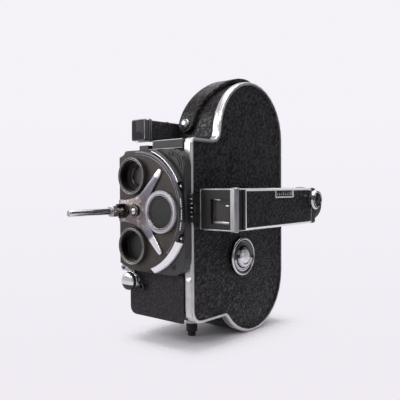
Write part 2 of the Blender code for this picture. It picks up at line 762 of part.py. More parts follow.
def release():
    """Front release: a domed button on a stem, and the cable socket beside it."""
    pivot("release_button", (RELEASE_X, FRONT_SEAT, RELEASE_Z), "camera")
    head_back = FRONT_SEAT - RELEASE_CLEARANCE - RELEASE_TRAVEL
    head_front = head_back - RELEASE_HEAD
    bm = bmesh.new()
    turn(bm, [(RELEASE_STEM, MOTOR_WALL + 4.0), (RELEASE_STEM, head_back), (RELEASE_RADIUS - 1.2, head_back),
              (RELEASE_RADIUS, head_back - 1.2), (RELEASE_RADIUS, head_front + 1.0),
              (RELEASE_RADIUS - 1.0, head_front), (RELEASE_RADIUS - 2.4, head_front),
              (RELEASE_RADIUS - 3.0, head_front + 0.6)],
         "y", (RELEASE_X, RELEASE_Z), 18)
    add("release_button", bm, "chrome", "release_button")
    bm = bmesh.new()
    front = FRONT_SEAT - SOCKET_HEIGHT
    turn(bm, [(SOCKET_RADIUS, FRONT_SEAT), (SOCKET_RADIUS, front + 0.5), (SOCKET_RADIUS - 0.5, front),
              (SOCKET_RADIUS / 2, front), (SOCKET_RADIUS / 2, front + 2.0)],
         "y", (SOCKET_X, SOCKET_Z), 16)
    add("cable_socket", bm, "chrome")


def time_lever():
    """Flat lever with a holed end that sets single exposures or a held shutter."""
    pivot("time_lever", (TIME_PIVOT_X, FRONT_SEAT, TIME_PIVOT_Z), "camera")
    run = (TIME_END_X - TIME_PIVOT_X, TIME_END_Z - TIME_PIVOT_Z)
    heading = math.degrees(math.atan2(run[1], run[0]))
    spread = math.degrees(math.asin(TIME_HALF_WIDTH / TIME_EYE))
    outline = arc((TIME_PIVOT_X, TIME_PIVOT_Z), TIME_EYE, heading + spread, heading + 360 - spread, 8)
    outline += arc((TIME_END_X, TIME_END_Z), TIME_EYE, heading + 180 + spread, heading + 540 - spread, 8)
    bm = bmesh.new()
    prism(bm, outline, "y", FRONT_SEAT - TIME_THICKNESS, FRONT_SEAT)
    lever = add("time_lever", bm, "chrome", "time_lever")
    hole = bmesh.new()
    turn(hole, [(TIME_EYE / 2, FRONT_SEAT - TIME_THICKNESS - 1), (TIME_EYE / 2, FRONT_SEAT + 1)],
         "y", (TIME_END_X, TIME_END_Z), 12)
    cut(lever, hole, "time_lever")


# Turret

def turret_disc():
    """D-shaped disc with three lens ports."""
    limit = math.degrees(math.acos(-TURRET_FLAT / TURRET_RADIUS))
    bm = bmesh.new()
    rim = arc((TURRET_X, TURRET_Z), TURRET_RADIUS, -limit, limit, 32)
    face_limit = math.degrees(math.acos(-(TURRET_FLAT - TRIM_LIP) / (TURRET_RADIUS - TRIM_LIP)))
    face = arc((TURRET_X, TURRET_Z), TURRET_RADIUS - TRIM_LIP, -face_limit, face_limit, 32)
    stack(bm, "y", [(rim, TURRET_BACK), (rim, TURRET_FRONT + TRIM_LIP), (face, TURRET_FRONT)])
    disc = add("turret_disc", bm, "turret_bronze", "turret")
    holes = bmesh.new()
    for centre in PORTS.values():
        turn(holes, [(PORT_BORE, TURRET_FRONT - 1), (PORT_BORE, TURRET_BACK + 1)], "y", centre, 24)
    bore = HUB_RADIUS + BORE_CLEARANCE
    turn(holes, [(bore, TURRET_FRONT - 1), (bore, TURRET_BACK + 1)], "y", (TURRET_X, TURRET_Z), 14)
    cut(disc, holes, "turret")


def arm_side(angle, radius, half_width):
    """A point beside an arm's middle line, at a radius from the turret's centre."""
    along = polar(angle, radius)
    across = math.radians(angle + 90)
    return (along[0] + half_width * math.cos(across), along[1] + half_width * math.sin(across))


def spider_arm(angle):
    """One tapered arm, from its right root round the tip to its left root."""
    points = [arm_side(angle, ARM_REACH * 0.24, -ARM_BASE), arm_side(angle, ARM_REACH * 0.52, -ARM_WAIST)]
    points += arc(polar(angle, ARM_REACH - ARM_TIP), ARM_TIP, angle - 80, angle + 80, 4)
    points += [arm_side(angle, ARM_REACH * 0.52, ARM_WAIST), arm_side(angle, ARM_REACH * 0.24, ARM_BASE)]
    return points


def turret_spider():
    """Bright Y-shaped spring plate over the turret's middle."""
    tail = TURRET_FLAT - 1.5
    outline = spider_arm(-ARM_ANGLE) + spider_arm(ARM_ANGLE)
    outline += [(TURRET_X - tail * 0.55, TURRET_Z + TAIL_HALF_WIDTH * 0.95),
                (TURRET_X - tail, TURRET_Z + TAIL_HALF_WIDTH),
                (TURRET_X - tail, TURRET_Z - TAIL_HALF_WIDTH),
                (TURRET_X - tail * 0.55, TURRET_Z - TAIL_HALF_WIDTH * 0.95)]
    bm = bmesh.new()
    prism(bm, outline, "y", SPIDER_FRONT, SPIDER_BACK)
    spider = add("turret_spider", bm, "satin_nickel", "turret")
    hole = bmesh.new()
    bore = HUB_RADIUS + BORE_CLEARANCE
    turn(hole, [(bore, SPIDER_FRONT - 1), (bore, SPIDER_BACK + 1)], "y", (TURRET_X, TURRET_Z), 14)
    cut(spider, hole, "turret")
    soften(spider, 0.4, 1)


def port_ring(name, look, centre, radius, height):
    """Raised screw ring of a lens port."""
    front = SPIDER_BACK - height
    bm = bmesh.new()
    turn(bm, [(PORT_BORE, SPIDER_BACK), (radius, SPIDER_BACK), (radius, front + 0.9), (radius - 0.9, front),
              (PORT_BORE + 1.0, front), (PORT_BORE, front + 1.0)],
         "y", centre, 28, bored=True)
    add(name, bm, look, "turret")


def port_plug():
    """Dished cap that closes the taking port."""
    front = SPIDER_BACK - TAKING_RING_HEIGHT + 0.7
    radius = PORT_BORE - BORE_CLEARANCE
    bm = bmesh.new()
    turn(bm, [(radius, TURRET_BACK), (radius, front + 0.6), (radius - 0.6, front), (radius - 1.8, front),
              (radius - 2.2, front + 0.5)],
         "y", PORTS["taking"], 24)
    add("port_plug", bm, "black_enamel", "turret")


def hub_screw():
    """Domed screw that the turret turns on."""
    head = SPIDER_FRONT - GAP
    bm = bmesh.new()
    turn(bm, [(HUB_RADIUS, POCKET_FLOOR - 1.2), (HUB_RADIUS, head), (HUB_HEAD_RADIUS, head),
              (HUB_HEAD_RADIUS, head - HUB_HEAD_HEIGHT * 0.4),
              (HUB_HEAD_RADIUS * 0.75, head - HUB_HEAD_HEIGHT * 0.85),
              (HUB_HEAD_RADIUS * 0.35, head - HUB_HEAD_HEIGHT)],
         "y", (TURRET_X, TURRET_Z), 16)
    add("hub_screw", bm, "chrome", "turret")


def lever_frame():
    """Local axes of the lever: its fold direction, forward, and its hinge axis, at the pivot."""
    fold = math.radians(LEVER_FOLD_ANGLE)
    along = Vector((math.cos(fold), 0.0, math.sin(fold)))
    forward = Vector((0.0, -1.0, 0.0))
    hinge = Vector((-math.sin(fold), 0.0, math.cos(fold)))
    frame = Matrix((along, forward, hinge)).transposed().to_4x4()
    return Matrix.Translation((LEVER_X, LEVER_Y, TURRET_Z)) @ frame


def turret_lever():
    """Rod that turns the turret; it folds flat between two ports on a forked bracket."""
    pivot("turret_lever", (LEVER_X, LEVER_Y, TURRET_Z), "turret")
    frame = lever_frame()
    foot = -LEVER_RISE + GAP
    inside = LEVER_EYE_HALF + GAP
    bm = bmesh.new()
    ear = [(-LEVER_EYE_RADIUS, foot), (LEVER_EYE_RADIUS, foot)] + arc((0, 0), LEVER_EYE_RADIUS, 0, 180, 8)
    floor = [(-LEVER_EYE_RADIUS, foot), (LEVER_EYE_RADIUS, foot), (LEVER_EYE_RADIUS, foot + FORK_BASE)]
    floor += [(LEVER_EYE_RADIUS - LEVER_EYE_RADIUS * 2 * step / 8, foot + FORK_BASE) for step in range(1, 9)]
    stack(bm, "z", [(ear, -inside - FORK_EAR), (ear, -inside), (floor, -inside), (floor, inside),
                    (ear, inside), (ear, inside + FORK_EAR)])
    bmesh.ops.transform(bm, matrix=frame, verts=bm.verts)
    add("lever_fork", bm, "black_enamel", "turret")
    bm = bmesh.new()
    circle = circle_points((0, 0), 1.0, 14)

    def section(radius, along):
        return [(radius * u, along, radius * v) for u, v in circle]

    collar = LEVER_EYE_RADIUS + GAP
    rings = [section(LEVER_EYE_HALF * 0.75, -LEVER_EYE_RADIUS * 0.75),
             section(LEVER_EYE_HALF, -LEVER_EYE_RADIUS * 0.4),
             section(LEVER_EYE_HALF, collar),
             section(LEVER_COLLAR_RADIUS, collar + 0.6),
             section(LEVER_COLLAR_RADIUS, collar + LEVER_COLLAR_LENGTH),
             section(LEVER_RADIUS, collar + LEVER_COLLAR_LENGTH + 0.6),
             section(LEVER_RADIUS, LEVER_REACH * 0.55), section(LEVER_RADIUS, LEVER_REACH - 3.0),
             section(LEVER_RADIUS, LEVER_REACH - 0.6), section(LEVER_RADIUS * 0.8, LEVER_REACH)]
    loft(bm, rings)
    bmesh.ops.transform(bm, matrix=frame, verts=bm.verts)
    add("turret_lever", bm, "chrome", "turret_lever")


# Shutter

def shutter():
    """Sector blade in the plate's pocket, in one with its shaft."""
    pivot("shutter", (SHUTTER_X, POCKET_FLOOR, SHUTTER_Z), "camera")
    front = POCKET_FLOOR + GAP
    back = front + SHUTTER_BLADE
    centre = (SHUTTER_X, SHUTTER_Z)
    half = SHUTTER_SECTOR / 2
    start, end = SHUTTER_MIDDLE_ANGLE - half, SHUTTER_MIDDLE_ANGLE + half
    outline = arc(centre, SHUTTER_RADIUS, start, end, 14)
    outline += arc(centre, SHUTTER_SHAFT * 4, end, start + 360, 6)
    hub = arc(centre, SHUTTER_SHAFT, start, end, 14)
    hub += arc(centre, SHUTTER_SHAFT, end + 10, start + 350, 6)
    bm = bmesh.new()
    stack(bm, "y", [(outline, front), (outline, back), (hub, back), (hub, CHAMBER_INSET + 2.0)])
    add("shutter", bm, "black_enamel", "shutter")


# Eye-level focuser

def scope_section(inset):
    """Front view of the focuser tube as (x, z), drawn in by inset."""
    return rounded_rectangle((SCOPE_LEFT + inset, SCOPE_BOTTOM + inset),
                             (SCOPE_RIGHT - inset, SCOPE_TOP - inset), 1.4, 2)


def eye_level_focuser():
    """Mirror head, bright collar, long square tube and eyepiece, on a rail with two posts."""
    head_back = SCOPE_FRONT + SCOPE_HEAD
    bm = bmesh.new()
    stack(bm, "y", [(scope_section(0.0), head_back), (scope_section(0.0), SCOPE_FRONT + TRIM_LIP),
                    (scope_section(TRIM_LIP), SCOPE_FRONT), (scope_section(SCOPE_FRAME), SCOPE_FRONT),
                    (scope_section(SCOPE_FRAME), SCOPE_FRONT + SCOPE_FRAME_DEPTH)])
    add("focuser_head", bm, "black_enamel")
    collar_front = head_back + GAP
    collar_back = collar_front + SCOPE_COLLAR
    bm = bmesh.new()
    prism(bm, scope_section(-SCOPE_COLLAR_LIP), "y", collar_front, collar_back)
    add("focuser_collar", bm, "chrome")
    tube_front = collar_back + GAP
    tube_back = tube_front + SCOPE_TUBE_LENGTH
    bm = bmesh.new()
    prism(bm, scope_section(SCOPE_TUBE_INSET), "y", tube_front, tube_back)
    add("focuser_tube", bm, "leatherette")
    centre = ((SCOPE_LEFT + SCOPE_RIGHT) / 2, (SCOPE_BOTTOM + SCOPE_TOP) / 2)
    start = tube_back + GAP
    end = start + SCOPE_EYEPIECE
    radius = SCOPE_EYEPIECE_RADIUS
    bm = bmesh.new()
    turn(bm, [(radius * 0.8, start), (radius * 0.8, start + 5), (radius, start + 6), (radius, end - 0.8),
              (radius - 0.8, end), (radius * 0.6, end), (radius * 0.35, end - 3.0)],
         "y", centre, 16)
    add("focuser_eyepiece", bm, "hard_rubber")
    low, high = MOTOR_TOP + GAP, SCOPE_BOTTOM + SCOPE_TUBE_INSET - GAP
    front, back = RAIL_FRONT, RAIL_FRONT + RAIL_LENGTH
    outline = [(front, low), (back, low), (back, high), (back - RAIL_POST, high),
               (back - RAIL_POST, low + RAIL_BASE), (front + RAIL_POST, low + RAIL_BASE),
               (front + RAIL_POST, high), (front, high)]
    bm = bmesh.new()
    prism(bm, outline, "x", centre[0] - RAIL_WIDTH / 2, centre[0] + RAIL_WIDTH / 2)
    add("focuser_rail", bm, "black_enamel")
    bm = bmesh.new()
    low = PLATE_TOP + GAP
    prism(bm, rounded_rectangle((WINDOW_LEFT, low), (WINDOW_RIGHT, low + WINDOW_HEIGHT), 0.8, 2),
          "y", WINDOW_FRONT, WINDOW_FRONT + WINDOW_LENGTH)
    add("focuser_window", bm, "black_enamel")


# Carrying strap

def strap_middle(angle):
    """How far a place on the strap belongs to its middle: 0 at the ends, 1 on top."""
    return math.sin(math.pi * (STRAP_END_ANGLE - angle) / (2 * STRAP_END_ANGLE - 180)) ** 2


def strap_lift(angle):
    """Height of the strap's inner face over the hump at an angle round it."""
    return STRAP_END_LIFT + (STRAP_TOP_LIFT - STRAP_END_LIFT) * strap_middle(angle)


def hump_point(angle, radius):
    """A point (y, z) round the upper hump's centre."""
    turn_angle = math.radians(angle)
    return (HUMP_Y + radius * math.cos(turn_angle), UPPER_Z + radius * math.sin(turn_angle))


def handle_strap():
    """Leather strap with round ends, held by a stud at each end and leaning over to the film door."""
    half_length = HUMP_RADIUS * math.radians(STRAP_END_ANGLE - 90)
    steps = 18
    rings = []
    for step in range(steps + 1):
        share = -math.cos(math.pi * step / steps)
        from_end = half_length * (1 - abs(share)) + 0.4
        angle = 90 - share * (STRAP_END_ANGLE - 90)
        half = (STRAP_WIDTH + (STRAP_MIDDLE_WIDTH - STRAP_WIDTH) * strap_middle(angle)) / 2
        if from_end < half:
            half = math.sqrt(half ** 2 - (half - from_end) ** 2)
        x = STRAP_X + STRAP_SWAY * strap_middle(angle)
        inner = HUMP_RADIUS + strap_lift(angle)
        y0, z0 = hump_point(angle, inner)
        y1, z1 = hump_point(angle, inner + STRAP_THICKNESS)
        rings.append([(x - half, y0, z0), (x + half, y0, z0), (x + half, y1, z1), (x - half, y1, z1)])
    bm = bmesh.new()
    loft(bm, rings)
    strap = add("handle_strap", bm, "strap_leather")
    spots = (("front_stud", STUD_ANGLE), ("rear_stud", 180 - STUD_ANGLE))
    for name, angle in spots:
        inner = HUMP_RADIUS + strap_lift(angle)
        outer = inner + STRAP_THICKNESS + GAP
        frame = Matrix.Translation((STRAP_X, HUMP_Y, UPPER_Z))
        frame = frame @ Matrix.Rotation(math.radians(angle - 90), 4, "X")
        bm = bmesh.new()
        turn(bm, [(STUD_RADIUS, HUMP_RADIUS + GAP), (STUD_RADIUS, inner - GAP), (STUD_SHANK, inner - GAP),
                  (STUD_SHANK, outer), (STUD_RADIUS, outer), (STUD_RADIUS * 0.85, outer + STUD_DOME * 0.6),
                  (STUD_RADIUS * 0.4, outer + STUD_DOME)],
             "z", (0, 0), 16)
        bmesh.ops.transform(bm, matrix=frame, verts=bm.verts)
        add(name, bm, "chrome")
        hole = bmesh.new()
        reach = STUD_SHANK + BORE_CLEARANCE
        turn(hole, [(reach, inner - 1), (reach, outer + 1)], "z", (0, 0), 12)
        bmesh.ops.transform(hole, matrix=frame, verts=hole.verts)
        cut(strap, hole)


# Film door and its lock

def lid_shell():
    """Shallow pan with a bright rounded border round a sunk bed for its leather."""
    round_start = BODY_HALF_WIDTH - LID_EDGE_ROUND
    levels = [(LID_WALL, LID_INSIDE), (LID_WALL, LID_LEFT), (0.0, LID_LEFT), (0.0, round_start)]
    for step in (1, 2):
        angle = math.radians(45 * step)
        inset = LID_EDGE_ROUND * (1 - math.cos(angle))
        levels.append((inset, round_start + LID_EDGE_ROUND * math.sin(angle)))
    levels += [(LID_BORDER, BODY_HALF_WIDTH), (LID_BORDER, LID_BED)]
    bm = bmesh.new()
    stack(bm, "x", [(chamber_outline(inset), x) for inset, x in levels])
    lid = add("lid_shell", bm, "chrome", "lid")
    cut(lid, lock_hole(), "lid")


def lock_hole():
    """Hole through the film door for the lock's spindle."""
    bm = bmesh.new()
    reach = LOCK_SPINDLE_RADIUS + BORE_CLEARANCE
    turn(bm, [(reach, LID_INSIDE - 1), (reach, BODY_HALF_WIDTH + 1)], "x", (LOCK_Y, LOCK_Z), 20)
    return bm


def lid_leather():
    """Leather panel of the film door."""
    bm = bmesh.new()
    prism(bm, chamber_outline(LID_BORDER + GAP), "x", LID_BED + GAP, LID_BED + GAP + LEATHER)
    panel = add("lid_leather", bm, "leatherette", "lid")
    cut(panel, lock_hole(), "lid")


def lid_lock():
    """Dished ring on the door, the knob that turns in it, and the bolt inside."""
    pivot("lid_lock", (BODY_HALF_WIDTH, LOCK_Y, LOCK_Z), "lid")
    base = LID_FACE + GAP / 2
    seat = BODY_HALF_WIDTH + GAP / 2
    centre = (LOCK_Y, LOCK_Z)
    bore = LOCK_KNOB_RADIUS + BORE_CLEARANCE
    bm = bmesh.new()
    turn(bm, [(bore, base), (LOCK_RADIUS, base), (LOCK_RADIUS, seat + 0.9), (LOCK_RADIUS - 0.9, seat + 1.9),
              (LOCK_RADIUS - 2.6, seat + 1.9), (LOCK_RADIUS - 4.0, seat + 1.0), (bore, seat + 1.0)],
         "x", centre, 28, bored=True)
    add("lock_ring", bm, "chrome", "lid")
    bm = bmesh.new()
    radius = LOCK_KNOB_RADIUS
    bolt_left = LID_INSIDE - GAP - LOCK_BOLT_THICKNESS
    turn(bm, [(LOCK_SPINDLE_RADIUS, bolt_left + LOCK_BOLT_THICKNESS / 2), (LOCK_SPINDLE_RADIUS, base),
              (radius, base), (radius, seat + 1.2), (radius - 1.4, seat + 2.2), (radius - 2.8, seat + 1.6),
              (radius - 4.2, seat + 1.6), (radius - 5.0, seat + 3.2), (radius - 7.0, seat + 4.0)],
         "x", centre, 24)
    knob = add("lock_knob", bm, "chrome", "lid_lock")
    bar = bmesh.new()
    bolt = rounded_rectangle((LOCK_Y - LOCK_BOLT_LENGTH / 2, LOCK_Z - LOCK_BOLT_WIDTH / 2),
                             (LOCK_Y + LOCK_BOLT_LENGTH / 2, LOCK_Z + LOCK_BOLT_WIDTH / 2),
                             LOCK_BOLT_WIDTH / 2 - 0.2, 2)
    prism(bar, bolt, "x", bolt_left, bolt_left + LOCK_BOLT_THICKNESS)
    join(knob, bar, "lid_lock")


# Side finder

def finder_section(inset):
    """Front view of the finder as (x, z), drawn in by inset."""
    return rounded_rectangle((FINDER_LEFT + inset, FINDER_BOTTOM + inset),
                             (FINDER_RIGHT - inset, FINDER_TOP - inset), FINDER_ROUND - inset, 2)


def finder_panel(inset):
    """Side view (y, z) of the finder's leather bed, stepped round the scale window."""
    start = HOUSING_FRONT + PANEL_FRONT_BORDER + inset
    end = PANEL_REAR - inset
    low = FINDER_BOTTOM + PANEL_EDGE_BORDER + inset
    high = FINDER_TOP - PANEL_EDGE_BORDER - inset
    step = high - SCALE_HEIGHT - SCALE_FRAME
    scale_start = SCALE_FRONT - SCALE_FRAME - inset
    scale_end = SCALE_FRONT + SCALE_LENGTH + SCALE_FRAME + inset
    return [(start, low), (end, low), (end, high), (scale_end, high), (scale_end, step),
            (scale_start, step), (scale_start, high), (start, high)]


def finder_housing():
    """Square tube with a sunk side panel and a scale window."""
    bm = bmesh.new()
    outer, inner = finder_section(0.0), finder_section(FINDER_WALL)
    loft(bm, [place_points(outer, "y", HOUSING_FRONT), place_points(outer, "y", FINDER_REAR),
              place_points(inner, "y", FINDER_REAR), place_points(inner, "y", HOUSING_FRONT)], closed=True)
    housing = add("finder_housing", bm, "chrome", "finder")
    bed = bmesh.new()
    prism(bed, finder_panel(0.0), "x", FINDER_RIGHT - LEATHER_BED, FINDER_RIGHT + 1)
    cut(housing, bed, "finder")
    window = bmesh.new()
    high = FINDER_TOP - PANEL_EDGE_BORDER
    box(window, (FINDER_RIGHT - FINDER_WALL - 1, SCALE_FRONT, high - SCALE_HEIGHT),
        (FINDER_RIGHT + 1, SCALE_FRONT + SCALE_LENGTH, high))
    cut(housing, window, "finder")
    bm = bmesh.new()
    prism(bm, finder_panel(GAP), "x", FINDER_RIGHT - LEATHER, FINDER_RIGHT)
    add("finder_leather", bm, "leatherette", "finder")


def finder_front():
    """Thin bright frame and half-round post, with the black mask and its window behind."""
    left = FINDER_RIGHT - POST_WIDTH
    right = left + BEZEL_BAR / 2
    outer = rounded_rectangle((FINDER_LEFT, FINDER_BOTTOM), (right, FINDER_TOP), 1.2, 2)
    inner = rounded_rectangle((FINDER_LEFT + BEZEL_BAR, FINDER_BOTTOM + BEZEL_BAR),
                              (right - BEZEL_BAR, FINDER_TOP - BEZEL_BAR), 0.6, 2)
    bm = bmesh.new()
    loft(bm, [place_points(outer, "y", FINDER_FRONT), place_points(outer, "y", BEZEL_BACK),
              place_points(inner, "y", BEZEL_BACK), place_points(inner, "y", FINDER_FRONT)], closed=True)
    bezel = add("finder_bezel", bm, "chrome", "finder")
    front, back = FINDER_FRONT - POST_PROUD / 2, BEZEL_BACK - POST_PROUD / 2
    half = (back - front) / 2

    def post_outline(inset):
        outline = [(left + inset, back - inset), (left + inset, front + inset)]
        return outline + arc((FINDER_RIGHT - half, front + half), half - inset, -90, 90, 8)

    low, high = FINDER_BOTTOM - POST_PROUD, FINDER_TOP + POST_PROUD
    post = bmesh.new()
    stack(post, "z", [(post_outline(0.6), low), (post_outline(0.0), low + 0.6),
                      (post_outline(0.0), high - 0.6), (post_outline(0.6), high)])
    join(bezel, post, "finder")
    plug = BEZEL_BAR + GAP
    small = rounded_rectangle((FINDER_LEFT + plug, FINDER_BOTTOM + plug),
                              (right - plug, FINDER_TOP - plug), 0.6, 2)
    full = finder_section(MASK_STEP)
    band = BEZEL_BACK + GAP
    bm = bmesh.new()
    stack(bm, "y", [(small, FINDER_FRONT + 0.8), (small, band), (full, band), (full, band + BAND_LENGTH)])
    mask = add("finder_mask", bm, "black_enamel", "finder")
    low = FINDER_BOTTOM + PANE_LOW
    hole = bmesh.new()
    box(hole, (PANE_X - PANE_WIDTH / 2, FINDER_FRONT - 1, low),
        (PANE_X + PANE_WIDTH / 2, band + BAND_LENGTH + 1, low + PANE_HEIGHT))
    cut(mask, hole, "finder")
    bm = bmesh.new()
    half = PANE_WIDTH / 2 - GAP
    box(bm, (PANE_X - half, BEZEL_BACK, low + GAP),
        (PANE_X + half, BEZEL_BACK + PANE_THICKNESS, low + PANE_HEIGHT - GAP))
    add("finder_pane", bm, "optical_glass", "finder")


def finder_rear():
    """Rear block with the round eyecup, and the selector wheel on its outer side."""
    start = FINDER_REAR + GAP
    bm = bmesh.new()
    prism(bm, finder_section(0.0), "y", start, start + REAR_BLOCK)
    block = add("finder_rear_block", bm, "black_enamel", "finder")
    centre = ((FINDER_LEFT + FINDER_RIGHT) / 2, (FINDER_BOTTOM + FINDER_TOP) / 2)
    shaft_end = FINDER_RIGHT - WHEEL_SHAFT_LENGTH
    hole = bmesh.new()
    turn(hole, [(EYEPIECE_BORE, start - 1), (EYEPIECE_BORE, start + REAR_BLOCK + 1)], "y", centre, 16)
    bore = WHEEL_SHAFT + BORE_CLEARANCE
    turn(hole, [(bore, shaft_end - 0.5), (bore, FINDER_RIGHT + 1)], "x", (WHEEL_Y, WHEEL_Z), 10)
    cut(block, hole, "finder")
    seat = start + REAR_BLOCK + GAP
    end = seat + EYEPIECE_LENGTH
    radius = EYEPIECE_RADIUS
    bm = bmesh.new()
    turn(bm, [(EYEPIECE_BORE, seat), (radius * 0.92, seat), (radius, seat + 2.0), (radius, end - 2.0),
              (radius - 2.0, end), (radius - 4.0, end), (EYEPIECE_BORE, end - EYEPIECE_LENGTH * 0.6)],
         "y", centre, 24, bored=True)
    add("finder_eyepiece", bm, "hard_rubber", "finder")
    pivot("finder_wheel", (FINDER_RIGHT, WHEEL_Y, WHEEL_Z), "finder")
    seat = FINDER_RIGHT + GAP
    face = seat + WHEEL_HEIGHT
    radius = WHEEL_RADIUS
    bm = bmesh.new()
    turn(bm, [(WHEEL_SHAFT, shaft_end), (WHEEL_SHAFT, seat), (radius, seat), (radius, face - 2.4),
              (radius - 1.6, face), (radius - 2.2, face), (radius - 2.8, face - 0.6)],
         "x", (WHEEL_Y, WHEEL_Z), 24)
    add("finder_wheel", bm, "chrome", "finder_wheel")


def finder_hinge():
    """Knuckled hinge at the door's front edge, the finder's pinned leaf, and the rear rest."""
    left = BODY_HALF_WIDTH + GAP
    right = FINDER_LEFT - GAP
    top = HINGE_BOTTOM + HINGE_HEIGHT
    middle = (HINGE_BOTTOM + top) / 2
    low, high = middle - HINGE_KNUCKLE / 2, middle + HINGE_KNUCKLE / 2
    spine = left + HINGE_BASE
    outline = [(left, HINGE_BOTTOM), (right, HINGE_BOTTOM), (right, low - GAP), (spine, low - GAP),
               (spine, high + GAP), (right, high + GAP), (right, top), (left, top)]
    bm = bmesh.new()
    prism(bm, outline, "y", HINGE_FRONT, HINGE_BACK)
    block = add("hinge_block", bm, "black_enamel", "lid")
    hole = bmesh.new()
    bore = HINGE_PIN + BORE_CLEARANCE
    turn(hole, [(bore, HINGE_BOTTOM - 1), (bore, top + 1)], "z", (HINGE_X, HINGE_Y), 8)
    cut(block, hole, "lid")
    inner = spine + GAP
    leaf_radius = min(HINGE_RADIUS, HINGE_X - inner)
    leaf = arc((HINGE_X, HINGE_Y), leaf_radius, 180, 360, 8)
    leaf += [(HINGE_X + leaf_radius, FINDER_FRONT), (right, FINDER_FRONT + 1.0), (right, LEAF_END),
             (inner, LEAF_END)]
    pin = arc((HINGE_X, HINGE_Y), HINGE_PIN, 180, 360, 8)
    pin += arc((HINGE_X, HINGE_Y), HINGE_PIN, 36, 144, 3)
    bm = bmesh.new()
    stack(bm, "z", [(pin, HINGE_BOTTOM - 0.4), (pin, low), (leaf, low), (leaf, high), (pin, high),
                    (pin, top + 0.4)])
    add("finder_leaf", bm, "black_enamel", "finder")
    bm = bmesh.new()
    prism(bm, rounded_rectangle((BRACKET_Y, BRACKET_BOTTOM),
                                (BRACKET_Y + BRACKET_LENGTH, BRACKET_BOTTOM + BRACKET_HEIGHT), 2.5),
          "x", LID_FACE + GAP, right)
    add("finder_rest", bm, "black_enamel", "lid")


# Film path

def spool(name, z):
    """Daylight spool, keyed to its spindle."""
    pivot(name, (SPOOL_LEFT, HUMP_Y, z), "camera")
    centre = (HUMP_Y, z)
    base = CHAMBER_INSIDE + GAP
    near, far = SPOOL_LEFT + SPOOL_FLANGE, SPOOL_RIGHT - SPOOL_FLANGE
    bm = bmesh.new()
    turn(bm, [(SPINDLE_ROOT, CHAMBER_LEFT + 0.3), (SPINDLE_ROOT, base), (SPINDLE_RADIUS, base),
              (SPINDLE_RADIUS, SPOOL_LEFT), (SPOOL_RADIUS, SPOOL_LEFT), (SPOOL_RADIUS, near),
              (SPOOL_CORE, near), (SPOOL_CORE, far), (SPOOL_RADIUS, far), (SPOOL_RADIUS, SPOOL_RIGHT),
              (SPINDLE_RADIUS, SPOOL_RIGHT),
              (SPINDLE_RADIUS, LID_SEAT - 0.8)],
         "x", centre, 20)
    add(name, bm, "black_enamel", name)


def sprocket(name, z):
    """Film sprocket with two rows of teeth, its shaft, and its gear in the motor."""
    pivot(name, (TAKING_X, SPROCKET_Y, z), "camera")
    centre = (SPROCKET_Y, z)
    count = 2 * SPROCKET_TEETH
    left = TAKING_X - FILM_WIDTH / 2
    right = TAKING_X + FILM_WIDTH / 2
    shaft = circle_points(centre, SPROCKET_SHAFT, count)
    gear = gear_circle(centre, SPROCKET_GEAR - GEAR_TIP_CLEARANCE, SPROCKET_TEETH, 2, 1, GEAR_TOOTH)
    drum = circle_points(centre, SPROCKET_RADIUS, count)
    teeth = gear_circle(centre, SPROCKET_RADIUS + SPROCKET_TOOTH, SPROCKET_TEETH, 2, 1, SPROCKET_TOOTH)
    row, wall = 1.3, 1.8
    bm = bmesh.new()
    stack(bm, "x", [
        (shaft, GEAR_LEFT - 1.0), (shaft, GEAR_LEFT), (gear, GEAR_LEFT), (gear, GEAR_RIGHT),
        (shaft, GEAR_RIGHT), (shaft, left), (drum, left), (teeth, left + 0.4), (teeth, left + row),
        (drum, left + wall), (drum, right - wall), (teeth, right - row), (teeth, right - 0.4),
        (drum, right)])
    add(name, bm, "steel", name)


def film_gate():
    """Gate plate with the picture aperture, and the sprung plate that holds the film to it."""
    low_z, high_z = TURRET_Z - GATE_HEIGHT / 2, TURRET_Z + GATE_HEIGHT / 2
    bm = bmesh.new()
    box(bm, (TAKING_X - GATE_WIDTH / 2, GATE_FRONT, low_z), (TAKING_X + GATE_WIDTH / 2, FILM_PLANE, high_z))
    gate = add("film_gate", bm, "steel")
    hole = bmesh.new()
    box(hole, (TAKING_X - APERTURE_WIDTH / 2, GATE_FRONT - 1, TURRET_Z - APERTURE_HEIGHT / 2),
        (TAKING_X + APERTURE_WIDTH / 2, FILM_PLANE + 1, TURRET_Z + APERTURE_HEIGHT / 2))
    cut(gate, hole)
    front = FILM_PLANE + PRESSURE_FILM_GAP
    pivot("pressure_plate", (TAKING_X, front, TURRET_Z), "camera")
    half = PRESSURE_HEIGHT / 2
    outline = [(front + 1.0, TURRET_Z - half - 2), (front + PRESSURE_THICKNESS, TURRET_Z - half - 2),
               (front + PRESSURE_THICKNESS, TURRET_Z + half + 2), (front + 1.0, TURRET_Z + half + 2),
               (front, TURRET_Z + half), (front, TURRET_Z - half)]
    bm = bmesh.new()
    prism(bm, outline, "x", TAKING_X - GATE_WIDTH / 2 + 1.5, TAKING_X + GATE_WIDTH / 2 - 1.5)
    add("pressure_plate", bm, "steel", "pressure_plate")


# Spring motor

